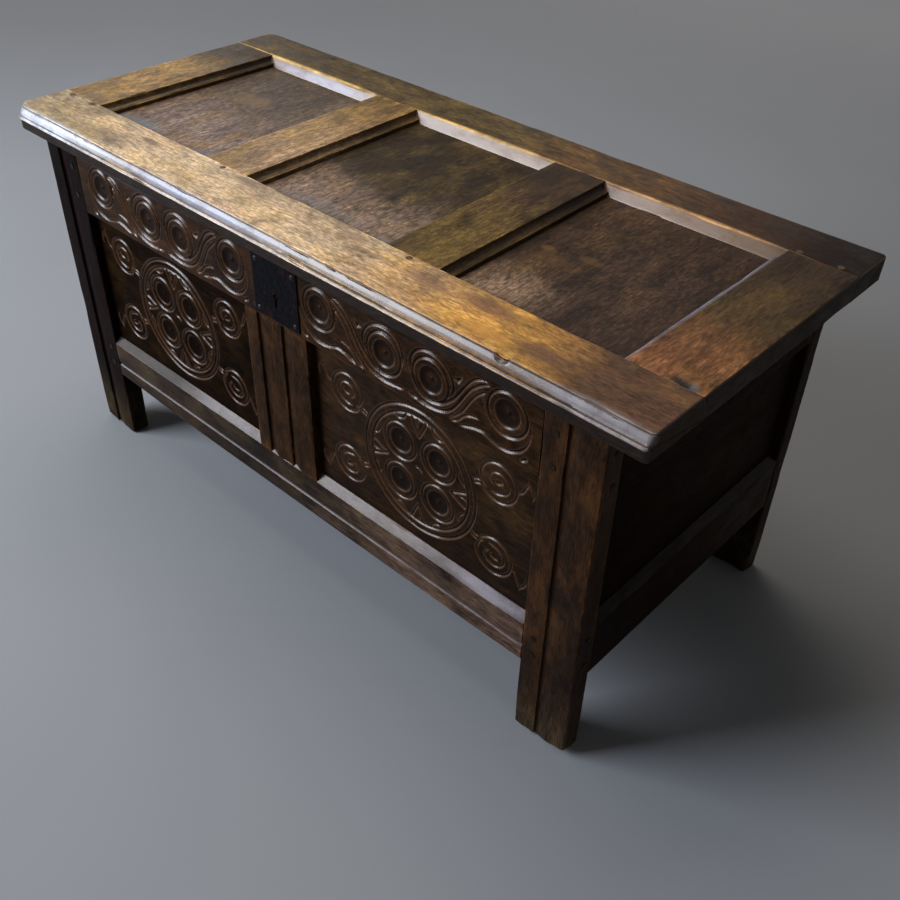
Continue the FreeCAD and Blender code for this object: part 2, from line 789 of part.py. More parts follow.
def lid_rail(label, corners, groove_span, extra_cuts):
    """Long rail of the lid: a moulded bar, ploughed and mortised along its inner edge."""
    bar = prism(label + "_bar", "YZ_Plane", corners, (-lid_end, lid_end))
    hollows = [slab(label + "_groove", (-lid_end_rail_edge, lid_end_rail_edge), groove_span[0],
                    lid_tenon_levels)]
    for column, across in lid_tenons.items():
        hollows.append(slab(f"{label}_{column}_mortise", across, groove_span[1], lid_tenon_levels))
    return piece(label, cut(label, bar, [fuse(label + "_hollows", hollows), lid_bores] + extra_cuts))


nosing_top = S.overall_height - S.nosing_drop
nosing_front = lid_front + S.nosing_width
front_rail_corners = [
    (lid_front + S.nosing_quirk, lid_underside),
    (lid_front_shoulder, lid_underside),
    (lid_front_shoulder, lid_panel_top),
    (lid_front_arris, S.overall_height),
    (nosing_front, S.overall_height),
    (nosing_front, S.overall_height - S.nosing_fillet),
    (nosing_front - S.nosing_fillet, S.overall_height - S.nosing_fillet),
    (lid_front, nosing_top),
    (lid_front, nosing_top - S.nosing_quirk),
    (lid_front + S.nosing_quirk, nosing_top - S.nosing_quirk),
]
lid_rail("lid_front_rail", front_rail_corners,
         ((lid_front_shoulder - S.lid_groove_depth, lid_front_shoulder),
          (lid_front_shoulder - S.lid_tenon - S.mortise_room, lid_front_shoulder)),
         [staple_bores])

back_rail_corners = [
    (lid_back_shoulder, lid_underside),
    (lid_back, lid_underside),
    (lid_back, S.overall_height),
    (lid_back_arris, S.overall_height),
    (lid_back_shoulder, lid_panel_top),
]
lid_rail("lid_back_rail", back_rail_corners,
         ((lid_back_shoulder, lid_back_shoulder + S.lid_groove_depth),
          (lid_back_shoulder, lid_back_shoulder + S.lid_tenon + S.mortise_room)),
         [lid_nail_bores])


def moulded_edge(arris, outward_sign):
    """Corners of a lid edge moulding from the top arris down to the panel, away from the timber."""
    step = S.lid_moulding_width - S.lid_moulding_fillet
    hollow_foot = S.overall_height - S.lid_moulding_step
    return [
        (arris, S.overall_height),
        (arris + step * outward_sign, hollow_foot, arris + step * outward_sign),
        (arris + S.lid_moulding_width * outward_sign, hollow_foot),
        (arris + S.lid_moulding_width * outward_sign, lid_underside),
    ]


# what the lid's long rails take from the ends of the cross members
front_scribe = prism("lid_front_scribe", "YZ_Plane", [
    (lid_front, lid_underside),
    (lid_front_shoulder, lid_underside),
    (lid_front_shoulder, lid_panel_top),
    (lid_front_arris, S.overall_height),
    (lid_front, S.overall_height),
], (-lid_end, lid_end))
back_scribe = prism("lid_back_scribe", "YZ_Plane", back_rail_corners, (-lid_end, lid_end))
scribes = group("lid_scribes", [front_scribe, back_scribe])
cross_span = (lid_front_arris, lid_back_arris)
tenon_span = (lid_front_shoulder - S.lid_tenon, lid_back_shoulder + S.lid_tenon)
groove_span = (lid_front_shoulder, lid_back_shoulder)


def lid_cross(label, corners, tenon, grooves):
    """Cross member of the lid: moulded along its panels, scribed to both long rails, tenoned."""
    bar = prism(label + "_bar", "XZ_Plane", corners, cross_span)
    scribed = cut(label + "_bar", bar, [scribes])
    tongue = slab(label + "_tenons", tenon, tenon_span, lid_tenon_levels)
    timber = fuse(label + "_timber", [scribed, tongue])
    hollows = [slab(f"{label}_groove_{number}", across, groove_span, lid_tenon_levels)
               for number, across in enumerate(grooves, start=1)]
    return piece(label, cut(label, timber, [fuse(label + "_grooves", hollows), lid_bores]))


def groove_at(edge, sign):
    """Groove in a moulded edge whose top arris is given, opening in the sign's direction."""
    lip = edge + S.lid_moulding_width * sign
    root = lip - S.lid_groove_depth * sign
    return (root, lip) if sign > 0 else (lip, root)


for sign, side in ((-1, "left"), (1, "right")):
    label = f"lid_{side}_end_rail"
    edge = lid_end_rail_edge * sign
    corners = moulded_edge(edge, -sign) + [(lid_end * sign, lid_underside),
                                           (lid_end * sign, S.overall_height)]
    lid_cross(label, corners, lid_tenons[f"{side}_end_rail"], [groove_at(edge, -sign)])

    label = f"lid_{side}_muntin"
    low, high = lid_columns[f"{side}_muntin"]
    step = S.lid_moulding_width - S.lid_moulding_fillet
    hollow_foot = S.overall_height - S.lid_moulding_step
    corners = moulded_edge(high, 1) + [
        (low - S.lid_moulding_width, lid_underside),
        (low - S.lid_moulding_width, hollow_foot),
        (low - step, hollow_foot),
        (low, S.overall_height, low - step),
    ]
    lid_cross(label, corners, (low, high), [groove_at(low, -1), groove_at(high, 1)])

panel_in = S.lid_moulding_width - S.lid_panel_tongue
panel_span = (lid_front_shoulder - S.lid_panel_tongue, lid_back_shoulder + S.lid_panel_tongue)
lid_fields = {
    "left": (-lid_end_rail_edge, lid_columns["left_muntin"][0]),
    "centre": (lid_columns["left_muntin"][1], lid_columns["right_muntin"][0]),
    "right": (lid_columns["right_muntin"][1], lid_end_rail_edge),
}
for side, (low, high) in lid_fields.items():
    label = f"lid_{side}_panel"
    piece(label, slab(label + "_board", (low + panel_in, high - panel_in), panel_span,
                      lid_tenon_levels))

# ---------------------------------------------------------------- hinges

knuckle_half = S.centre_knuckle / 2
knuckle_edge = knuckle_half + S.knuckle_gap
lid_strap_edge = S.carcase_depth - S.strap_room
lid_strap_foot = lid_underside - S.strap_thickness
back_strap_foot = hinge_axis_height - S.back_strap_length
back_slot_foot = hinge_axis_height - S.barrel_radius - S.back_slot_room

for side, middle in zip(SIDES, hinge_middles):
    label = f"{side}_hinge_lid_strap"
    strap = prism(label + "_leaf", "XY_Plane", [
        (-strap_half, strap_front + S.strap_point),
        (ZERO, strap_front),
        (strap_half, strap_front + S.strap_point),
        (strap_half, lid_strap_edge),
        (knuckle_half, lid_strap_edge),
        (knuckle_half, hinge_axis_depth),
        (-knuckle_half, hinge_axis_depth),
        (-knuckle_half, lid_strap_edge),
        (-strap_half, lid_strap_edge),
    ], (lid_strap_foot, lid_underside), (middle, ZERO, ZERO))
    knuckle = rod(label + "_knuckle", S.barrel_radius, S.centre_knuckle,
                  (middle - knuckle_half, hinge_axis_depth, hinge_axis_height), "+x")
    bore = rod(label + "_bore", S.hinge_pin_radius + S.hinge_pin_run, S.strap_width,
               (middle - strap_half, hinge_axis_depth, hinge_axis_height), "+x")
    leaf = fuse(label + "_forging", [strap, knuckle])
    piece(label, cut(label, leaf, [bore, lid_nail_bores]))

    label = f"{side}_hinge_back_strap"
    strap = prism(label + "_leaf", "XZ_Plane", [
        (-strap_half, back_strap_foot + S.strap_point),
        (ZERO, back_strap_foot),
        (strap_half, back_strap_foot + S.strap_point),
        (strap_half, hinge_axis_height),
        (knuckle_edge, hinge_axis_height),
        (knuckle_edge, back_slot_foot),
        (-knuckle_edge, back_slot_foot),
        (-knuckle_edge, hinge_axis_height),
        (-strap_half, hinge_axis_height),
    ], (S.carcase_depth, S.carcase_depth + S.strap_thickness), (middle, ZERO, ZERO))
    knuckles = [
        rod(f"{label}_knuckle_{number}", S.barrel_radius, strap_half - knuckle_edge,
            (start, hinge_axis_depth, hinge_axis_height), "+x")
        for number, start in enumerate((middle - strap_half, middle + knuckle_edge), start=1)
    ]
    bore = rod(label + "_bore", S.hinge_pin_radius + S.hinge_pin_fit, S.strap_width,
               (middle - strap_half, hinge_axis_depth, hinge_axis_height), "+x")
    leaf = fuse(label + "_forging", [strap] + knuckles)
    piece(label, cut(label, leaf, [bore, back_strap_bores]))

    label = f"{side}_hinge_pin"
    pin_start = middle - strap_half - S.hinge_pin_head
    shank = rod(label + "_shank", S.hinge_pin_radius, S.strap_width + S.hinge_pin_head * 2,
                (pin_start, hinge_axis_depth, hinge_axis_height), "+x")
    heads = [
        rod(f"{label}_head_{number}", S.hinge_pin_head_radius, S.hinge_pin_head,
            (start, hinge_axis_depth, hinge_axis_height), "+x")
        for number, start in enumerate((pin_start, middle + strap_half), start=1)
    ]
    piece(label, fuse(label, [shank] + heads))

# ---------------------------------------------------------------- lock

plate = slab("lock_plate_sheet", plate_edges, (-S.lock_plate_thickness, ZERO), plate_levels)
piece("lock_plate", cut("lock_plate", plate, [keyhole, plate_bores]))

case_back = S.rail_thickness + S.case_depth
bolt_top = case_top - S.bolt_drop
bolt_levels = (bolt_top - S.bolt_height, bolt_top)
bolt_span = (staple_depth - S.bolt_thickness / 2, staple_depth + S.bolt_thickness / 2)


def lock_slab(name, across, deep, up):
    """Block placed along X from the middle of the lock."""
    return slab(name, (S.lock_offset + across[0], S.lock_offset + across[1]), deep, up)


case_shell = lock_slab("lock_case_shell", (-case_half, case_half), (S.rail_thickness, case_back),
                       case_levels)
case_hollow = lock_slab("lock_case_hollow", (-case_half + S.case_wall, case_half - S.case_wall),
                        (S.rail_thickness, case_back - S.case_wall),
                        (case_levels[0] + S.case_wall, case_levels[1] - S.case_wall))
slot_half = S.staple_thickness / 2 + S.staple_slot_room
case_slot = lock_slab("lock_case_slot", (S.staple_set - slot_half, S.staple_set + slot_half),
                      (S.rail_thickness, case_back - S.case_wall),
                      (case_levels[1] - S.case_wall, case_levels[1]))
ears = lock_slab("lock_case_ears", (-case_half - S.case_ear, case_half + S.case_ear),
                 (S.rail_thickness, S.rail_thickness + S.case_wall), (ear_foot, ear_top))
guides = [
    lock_slab(f"lock_case_guide_{number}", (-reach, S.guide_thickness - reach),
              (bolt_span[0] - S.case_wall, case_back - S.case_wall),
              (bolt_levels[0] - S.case_wall, bolt_levels[1] + S.case_wall))
    for number, reach in enumerate((S.tail_guide, S.tip_guide), start=1)
]
guide_slot = lock_slab("lock_case_guide_slot", (-S.bolt_tail, S.bolt_tip),
                       (bolt_span[0] - S.bolt_room, bolt_span[1] + S.bolt_room),
                       (bolt_levels[0] - S.bolt_room, bolt_levels[1] + S.bolt_room))
shell = cut("lock_case_shell", fuse("lock_case_blank", [case_shell, ears]),
            [fuse("lock_case_space", [case_hollow, case_slot])])
case = fuse("lock_case_works", [shell] + guides)
piece("lock_case", cut("lock_case", case, [guide_slot, case_bores]))

bolt = lock_slab("lock_bolt_bar", (-S.bolt_tail, S.bolt_tip), bolt_span, bolt_levels)
talon_middle = -(S.tail_guide + S.tip_guide - S.guide_thickness) / 2
talon = lock_slab("lock_bolt_talon",
                  (talon_middle - S.bolt_talon_width / 2, talon_middle + S.bolt_talon_width / 2),
                  bolt_span, (bolt_levels[0], bolt_levels[0] + S.bolt_talon_depth))
piece("lock_bolt", cut("lock_bolt", bolt, [talon]))

foot_levels = (lid_underside - S.staple_foot_thickness, lid_underside)
foot_half = S.staple_foot_length / 2
foot_front = S.rail_thickness + S.staple_foot_gap
staple_foot = lock_slab("lid_staple_foot", (S.staple_set - foot_half, S.staple_set + foot_half),
                        (foot_front, staple_depth * 2 - foot_front), foot_levels)
staple_across = (S.staple_set - S.staple_thickness / 2, S.staple_set + S.staple_thickness / 2)
staple_loop = lock_slab("lid_staple_loop", staple_across,
                        (staple_depth - S.staple_width / 2, staple_depth + S.staple_width / 2),
                        (bolt_levels[0] - S.staple_room - S.staple_toe, foot_levels[0]))
staple_eye = lock_slab("lid_staple_eye", staple_across,
                       (bolt_span[0] - S.staple_room, bolt_span[1] + S.staple_room),
                       (bolt_levels[0] - S.staple_room, bolt_levels[1] + S.staple_room))
staple = fuse("lid_staple_forging", [staple_foot, staple_loop])
piece("lid_staple", cut("lid_staple", staple, [staple_eye, staple_bores]))

# ---------------------------------------------------------------- check and write

doc.recompute()
for thing in doc.Objects:
    if "Invalid" in thing.State or "Error" in thing.State:
        raise RuntimeError(f"{thing.Label} failed: {thing.State}")
for solid in pieces:
    if solid.Shape.isNull() or not solid.Shape.isValid() or not solid.Shape.Solids:
        raise RuntimeError(f"{solid.Label} has no sound shape")

os.makedirs("parts", exist_ok=True)
for solid in pieces:
    solid.Shape.exportStep(f"parts/{solid.Label}.step")
    print(solid.Label, len(solid.Shape.Solids), round(solid.Shape.Volume / 1000, 2), "cm3")
print(len(pieces), "nodes")
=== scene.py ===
import math

import bmesh
import bpy
import numpy as np
from mathutils import Matrix, Vector


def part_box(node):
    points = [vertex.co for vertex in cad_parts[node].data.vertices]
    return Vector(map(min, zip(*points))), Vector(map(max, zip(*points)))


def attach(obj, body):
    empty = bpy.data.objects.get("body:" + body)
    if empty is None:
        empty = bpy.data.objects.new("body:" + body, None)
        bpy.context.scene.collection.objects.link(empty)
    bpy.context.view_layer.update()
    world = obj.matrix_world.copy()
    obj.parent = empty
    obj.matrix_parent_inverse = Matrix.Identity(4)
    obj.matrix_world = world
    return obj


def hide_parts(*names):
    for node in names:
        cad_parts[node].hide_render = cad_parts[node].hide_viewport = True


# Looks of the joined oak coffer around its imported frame.
# Shapes are worked out in millimetres as (x, depth behind the carcase's front face, height).
# Fades and stains of the wood are placed in metres, in the frame's own x, y and z.

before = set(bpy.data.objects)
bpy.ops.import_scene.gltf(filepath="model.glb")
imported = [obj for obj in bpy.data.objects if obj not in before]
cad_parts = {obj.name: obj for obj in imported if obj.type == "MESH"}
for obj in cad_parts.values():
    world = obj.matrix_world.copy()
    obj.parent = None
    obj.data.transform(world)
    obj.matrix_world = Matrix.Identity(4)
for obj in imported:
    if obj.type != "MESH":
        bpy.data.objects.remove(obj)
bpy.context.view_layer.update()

FRONT_FACE = -250.15
REAR = 507.0
CARCASE_TOP = 551.6
STILE_IN, STILE_OUT = 460.0, 546.0
STILE_THICK, RAIL_THICK, MUNTIN_THICK = 32, 30, 28
MUNTIN_HALF = 65
RAIL_FOOT, BOTTOM_TOP, BOTTOM_FOOT = 444.6, 210.0, 128
END_INNER, END_FOOT, END_TOP = 516.0, 147.0, 247.0
BEVEL_RUN, BEVEL_RISE = 11.0, 12.0
PANEL_FACE, PANEL_BACK = 12.0, 22.0
LIP = 3.0
LID_FOOT, LID_TOP, LID_END = 552.0, 585.0, 600.0
LID_FRONT, LID_BACK = -18.0, 505.0
FRONT_ARRIS, FRONT_SHOULDER = 80.5, 91.5
BACK_ARRIS, BACK_SHOULDER = 426.0, 415.0
PANEL_TOP, PANEL_FOOT = 569.0, 559.0
END_RAIL_EDGE = 503.0
LID_MUNTIN, LID_MUNTIN_HALF = 184.0, 45
MOULD, MOULD_STEP, FILLET = 12.0, 10.0, 4.0
SIDES = (("left", -1), ("right", 1))


# ---------------- smooth noise

WAVES, WAVE_SUM = 9, 3.2


def ripple(points, wavelengths, seed):
    """Smooth pseudo-random field, about -1 to 1, with its own wavelength along each axis."""
    rng = np.random.default_rng(seed)
    scaled = points / np.asarray(wavelengths, float)
    total = np.zeros(points.shape[:-1])
    for _ in range(WAVES):
        way = rng.normal(size=3)
        way *= rng.uniform(0.6, 1.7) / np.linalg.norm(way)
        total += np.sin(2 * math.pi * (scaled @ way) + rng.uniform(0, 2 * math.pi))
    return np.clip(total / WAVE_SUM, -1.5, 1.5)


def smooth_step(value, low, high):
    """0 on low's side, 1 on high's, with an eased ramp between."""
    t = np.clip((value - low) / (high - low), 0.0, 1.0)
    return t * t * (3 - 2 * t)


# ---------------- carving

AWAY = 999.0                    # a place that no cut reaches
BOSS_HEIGHT, BOSS_REACH = 2.4, 2.8


def smooth_line(points, steps=8):
    """Catmull-Rom line through the points."""
    pts = np.array([points[0], *points, points[-1]], float)
    t = np.linspace(0.0, 1.0, steps, endpoint=False)[:, None]
    runs = [0.5 * (2 * b + (c - a) * t + (2 * a - 5 * b + 4 * c - d) * t ** 2
                   + (3 * b - a - 3 * c + d) * t ** 3)
            for a, b, c, d in zip(pts, pts[1:], pts[2:], pts[3:])]
    return np.vstack(runs + [pts[-1:]])


def line_gap(px, pz, points, margin=8):
    """Distance to a smooth line through the points, and how far along it the nearest place is."""
    line = smooth_line(points)
    low, high = line.min(0) - margin, line.max(0) + margin
    near = (px > low[0]) & (px < high[0]) & (pz > low[1]) & (pz < high[1])
    qx, qz = px[near], pz[near]
    gap, spot = np.full(qx.shape, 1e9), np.zeros(qx.shape)
    for index, (a, b) in enumerate(zip(line, line[1:])):
        run = b - a
        t = np.clip(((qx - a[0]) * run[0] + (qz - a[1]) * run[1]) / max(run @ run, 1e-9), 0, 1)
        d = np.hypot(qx - a[0] - t * run[0], qz - a[1] - t * run[1])
        closer = d < gap
        gap = np.where(closer, d, gap)
        spot = np.where(closer, (index + t) / (len(line) - 1), spot)
    best, where = np.full(px.shape, 1e9), np.zeros(px.shape)
    best[near], where[near] = gap, spot
    return best, where


def vee(gap, half, depth):
    """V cut with a slightly rounded root."""
    fall = np.clip(1 - gap / half, 0, 1)
    return depth * np.sqrt(fall ** 2 + 0.02) * (fall > 0)


def stroke(px, pz, half, depth, ends, points):
    """V cut along a smooth line, narrower and shallower over the given share of each end."""
    gap, spot = line_gap(px, pz, points)
    swell = np.ones(px.shape)
    for share, rest in zip(ends, (spot, 1 - spot)):
        if share > 0:
            swell = swell * np.clip(rest / share, 0.0, 1.0) ** 0.6
    swell = np.maximum(swell, 0.12)
    return vee(gap, half * swell, depth * swell)


def ringed_dish(rho, radius, deep, outer, drop, half, cut):
    """Round sinking with steep walls and a boss at its centre, in a rounded ring with a V cut
    outside it. rho is the distance from the centre."""
    bowl = deep * np.clip(1 - (rho / radius) ** 2, 0, 1) ** 0.4
    bowl = bowl - BOSS_HEIGHT * np.exp(-(rho / BOSS_REACH) ** 2)
    off, reach = np.abs(rho - (radius + outer) / 2), (outer - radius) / 2
    ring = drop * np.clip(off / reach, 0, 1) ** 2 * (off <= reach)
    return np.maximum(np.maximum(bowl, ring), vee(np.abs(rho - (outer + 0.5)), half, cut))


def scoop(px, pz, cx, cz, long, wide, turn, depth):
    """Gouge cut: an elliptical hollow, long one way."""
    c, s = math.cos(math.radians(turn)), math.sin(math.radians(turn))
    a = ((px - cx) * c + (pz - cz) * s) / long
    b = (-(px - cx) * s + (pz - cz) * c) / wide
    return depth * np.clip(1 - a * a - b * b, 0, 1) ** 0.7


def wedge_pit(px, pz, corners, depth, slope=4.0):
    """Small straight-sided pit, deepest at its middle. Corners run counter-clockwise."""
    inside = np.full(px.shape, 1e9)
    pts = np.array(corners, float)
    for a, b in zip(np.roll(pts, 1, axis=0), pts):
        run = b - a
        side = ((pz - a[1]) * run[0] - (px - a[0]) * run[1]) / math.hypot(*run)
        inside = np.minimum(inside, side)
    return depth * np.clip(inside / slope, 0, 1)


# Half of a unit of running scrolls, mirrored about the unit's centre. Each stroke is its half
# width, its depth, the tapered share of each end, and its points.
RAIL_UNITS, RAIL_UNIT_HALF = (-245.5, 251.0), 212
RAIL_DISHES, RAIL_DISH = ((39.5, 493.0), (158.0, 505.0)), (19.5, 5.2, 29.0, 1.1, 3.0, 4.0)
RAIL_STROKES = (
    (3.0, 3.8, (0.12, 0.1), (
        (8, 487), (6, 500), (8, 513), (16, 524), (28, 530.5), (40, 532), (54, 529), (67, 521),
        (75, 509), (77, 497), (73, 487), (67, 480))),
    (3.0, 4.0, (0.0, 0.2), (
        (46, 464.5), (56, 467), (66, 474), (78, 486), (88, 501), (96, 513), (104, 523.5),
        (113, 530), (123, 533), (134, 534))),
    (3.0, 4.0, (0.12, 0.12), (
        (6, 459), (20, 455.5), (41, 454.5), (60, 458.5), (73, 467), (83, 480), (92, 495),
        (101, 509), (111, 519), (123, 527.5), (134, 531))),
    (2.8, 3.4, (0.2, 0.3), (
        (70, 453), (80, 462), (90, 473), (99, 488), (107, 501), (117, 512), (126, 517),
        (124, 506), (122, 493))),
    (2.8, 3.2, (0.2, 0.3), ((74, 453), (84, 458), (95, 470), (107, 475.5), (122, 477.5))),
    (3.0, 3.8, (0.1, 0.3), (
        (88, 453), (99, 457), (112, 461), (126, 462), (140, 457.5), (154, 455), (168, 457.5),
        (181, 466), (190, 479), (194, 494), (193, 508))),
)
RAIL_SCOOPS = ((12, 457, 9, 3.2, -12, 3.0), (187, 456, 7, 3.4, 35, 3.0))
RAIL_PIT, RAIL_PIT_DEPTH = ((74, 514), (86, 509), (93, 524)), 4.5
KEYHOLE_X, KEYHOLE_Z, KEYHOLE_RADIUS = 10.0, 488.0, 4.5
SLIT_HALF, SLIT_LENGTH, KEYHOLE_DEPTH = 2.4, 16, 26.0


def rail_carving(px, pz):
    """Depth of the running scrolls on the top rail, and of the keyhole behind the lock plate."""
    cuts = [np.zeros(px.shape)]
    for centre in RAIL_UNITS:
        u = np.abs(px - centre)
        u = np.where(u < RAIL_UNIT_HALF, u, AWAY)
        cuts += [ringed_dish(np.hypot(u - cx, pz - cz), *RAIL_DISH) for cx, cz in RAIL_DISHES]
        cuts += [stroke(u, pz, *cut) for cut in RAIL_STROKES]
        cuts += [scoop(u, pz, *cut) for cut in RAIL_SCOOPS]
        cuts.append(wedge_pit(u, pz, RAIL_PIT, RAIL_PIT_DEPTH))
    hole = np.hypot(px - KEYHOLE_X, pz - KEYHOLE_Z) < KEYHOLE_RADIUS
    slit = ((np.abs(px - KEYHOLE_X) < SLIT_HALF)
            & (pz < KEYHOLE_Z) & (pz > KEYHOLE_Z - SLIT_LENGTH))
    cuts.append(np.where(hole | slit, KEYHOLE_DEPTH, 0.0))
    return np.maximum.reduce(cuts)


# A panel's roundel, from its centre. Strokes of a corner are mirrored into all four corners,
# strokes of an axis are turned to all four sides, and those of a pair are mirrored there too.
PANEL_CENTRES, PANEL_MIDDLE, PANEL_REACH = (-263.0, 261.0), 327.0, 200
ROUNDEL_RADII, ROUNDEL_CUT = (99, 87), (2.9, 3.6)
CORNER_X, CORNER_Z, CORNER_DISH = 34.0, 33.5, (19.0, 4.8, 28.0, 1.0, 2.8, 3.4)
CORNER_SCOOP = (134, 62, 8, 4.5, 20, 2.6)
CORNER_RING = tuple((133 + 29 * math.cos(math.radians(t)), 61 + 29 * math.sin(math.radians(t)))
                    for t in range(-150, 171, 20)) + ((105, 60), (110, 49), (119, 43))
CORNER_STROKES = (
    (2.7, 3.2, (0.06, 0.1), CORNER_RING),
    (2.5, 3.0, (0.1, 0.3), (
        (120, 44), (133, 44), (146, 50), (150, 62), (144, 73), (133, 76.5), (122, 72),
        (119, 63), (124, 56), (132, 55))),
    (2.4, 2.6, (0.3, 0.3), ((93, 45), (99, 48.5), (106, 49.5))),
    (2.4, 2.6, (0.3, 0.3), ((94.65, 39.5), (100.65, 43), (107.65, 44))),
    (2.8, 3.0, (0.3, 0.4), ((163, 62), (170, 68), (174, 77), (178, 86), (176, 94))),
    (2.6, 2.8, (0.3, 0.4), ((176, 90), (183, 82), (187, 72), (185, 63))),
)
PAIR_STROKES = (
    (2.7, 3.2, (0.1, 0.25), ((13, 84), (9, 74), (3.5, 63), (0, 54))),
    (2.6, 3.0, (0.2, 0.3), ((22, 83), (27, 75), (35, 71), (44, 73))),
)
AXIS_STROKE = (2.2, 2.4, (0.1, 0.4), ((-1, 84), (-3, 77), (-1, 69)))
CENTRE_STROKE = (2.4, 2.6, (0.3, 0.3), ((-7, 5), (-2, 7), (4, 5), (8, 0)))


def panel_carving(px, pz):
    """Depth of the roundels, corner spirals and their tails on the two front panels."""
    cuts = [np.zeros(px.shape)]
    for centre in PANEL_CENTRES:
        u = np.where(np.abs(px - centre) < PANEL_REACH, px - centre, AWAY)
        v = pz - PANEL_MIDDLE
        cuts += [vee(np.abs(np.hypot(u, v) - radius), *ROUNDEL_CUT) for radius in ROUNDEL_RADII]
        for side_x in (-1, 1):
            for side_z in (-1, 1):
                a, b = u * side_x, v * side_z
                cuts.append(ringed_dish(np.hypot(a - CORNER_X, b - CORNER_Z), *CORNER_DISH))
                cuts += [stroke(a, b, *cut) for cut in CORNER_STROKES]
                cuts.append(scoop(a, b, *CORNER_SCOOP))
        for a, b in ((u, v), (v, -u), (-u, -v), (-v, u)):
            cuts += [stroke(a * side, b, *cut) for side in (-1, 1) for cut in PAIR_STROKES]
            cuts.append(stroke(a, b, *AXIS_STROKE))
        cuts.append(stroke(u, v, *CENTRE_STROKE))
    return np.maximum.reduce(cuts)


# ---------------- timbers swept along their grain

def turning(points):
    """1 where a closed line of points runs counter-clockwise, else -1."""
    ahead = np.roll(points, -1, axis=0)
    return 1 if np.sum(points[:, 0] * ahead[:, 1] - ahead[:, 0] * points[:, 1]) > 0 else -1


def outline(corners, step):
    """Closed section from corners (u, v, rounding radius) or (u, v, radius, step of the edge that
    leads here). Gives the points and how much each one is an arris, below 0 in a hollow."""
    places = np.array([corner[:2] for corner in corners], float)
    arcs = []
    for corner, here, last, following in zip(corners, places, np.roll(places, 1, axis=0),
                                             np.roll(places, -1, axis=0)):
        before, after = last - here, following - here
        before_length, after_length = np.linalg.norm(before), np.linalg.norm(after)
        before, after = before / before_length, after / after_length
        half = math.acos(max(-1.0, min(1.0, float(before @ after)))) / 2
        reach = min(corner[2] / math.tan(half), 0.45 * before_length, 0.45 * after_length)
        radius = reach * math.tan(half)
        centre = here + (before + after) / np.linalg.norm(before + after) * radius / math.sin(half)
        first, end = here + before * reach - centre, here + after * reach - centre
        turn = math.atan2(first[0] * end[1] - first[1] * end[0], first @ end)
        pieces = 2 if radius < 0.8 else 4 if radius < 4 else 8
        swing = []
        for number in range(pieces + 1):
            c, s = math.cos(turn * number / pieces), math.sin(turn * number / pieces)
            swing.append(centre + (first[0] * c - first[1] * s, first[0] * s + first[1] * c))
        convex = before[0] * after[1] - before[1] * after[0]
        arcs.append((here + before * reach, here + after * reach, swing,
                     convex * smooth_step(abs(turn), 0.35, 0.8)))
    way = turning(places)
    points, arris = [], []
    for index, corner in enumerate(corners):
        start, (end, _, swing, convex) = arcs[index - 1][1], arcs[index]
        run = end - start
        length = np.linalg.norm(run)
        pieces = max(1, int(round(length / (corner[3] if len(corner) > 3 else step))))
        along = list(np.linspace(0, 1, pieces + 1)[1:-1])
        if length > 6:
            along = sorted(along + [1.2 / length, 1 - 1.2 / length])
        points += [start + run * t for t in along] + swing
        arris += [0.0] * len(along) + [-way * convex / 0.7] * len(swing)
    return np.array(points), np.clip(arris, -1.0, 1.0)


def stations(start, end, step, close=()):
    """Places along a timber, closer together round given spots (place, reach, step)."""
    spots = set(np.round(np.linspace(start, end, max(2, int(abs(end - start) / step) + 1)), 3))
    for place, reach, fine in close:
        for spot in np.arange(place - reach, place + reach + fine / 2, fine):
            if start < spot < end:
                spots.add(round(float(spot), 3))
    ordered = [start]
    for spot in sorted(spots):
        if spot - ordered[-1] > 0.5:
            ordered.append(spot)
    ordered[-1] = end
    return np.array(ordered)


def normals(grid):
    """Unit normals, turned outwards, of a grid of points whose rows close on themselves."""
    normal = np.cross(np.gradient(grid, axis=0),
                      np.roll(grid, -1, axis=1) - np.roll(grid, 1, axis=1))
    normal /= np.maximum(np.linalg.norm(normal, axis=-1, keepdims=True), 1e-9)
    return normal if np.sum((grid - grid.mean(axis=(0, 1))) * normal) >= 0 else -normal


def mesh_object(name, grid, fields):
    """Blender object from a grid of points in millimetres, with flat caps on its two ends."""
    rows, ring = grid.shape[:2]
    faces = [(row + spot, row + (spot + 1) % ring, row + ring + (spot + 1) % ring,
              row + ring + spot)
             for row in range(0, (rows - 1) * ring, ring) for spot in range(ring)]
    sides, last = len(faces), (rows - 1) * ring
    faces += [tuple(range(ring - 1, -1, -1)), tuple(range(last, last + ring))]
    placed = grid.reshape(-1, 3).copy()
    placed[:, 1] += FRONT_FACE
    mesh = bpy.data.meshes.new(name)
    mesh.from_pydata((placed * 0.001).tolist(), [], faces)
    mesh.polygons.foreach_set("use_smooth", np.arange(len(faces)) < sides)
    for field, values in fields.items():
        layer = mesh.attributes.new(field, "FLOAT", "POINT")
        layer.data.foreach_set("value", np.asarray(values, np.float32).ravel())
    mesh.validate()
    mesh.update()
    thing = bpy.data.objects.new(name, mesh)
    bpy.context.scene.collection.objects.link(thing)
    built = bmesh.new()
    built.from_mesh(mesh)
    bmesh.ops.recalc_face_normals(built, faces=built.faces)
    built.to_mesh(mesh)
    built.free()
    return thing


def moved(grid, axis, values):
    """Grid of points with one coordinate replaced."""
    out = grid.copy()
    out[..., axis] = values
    return out


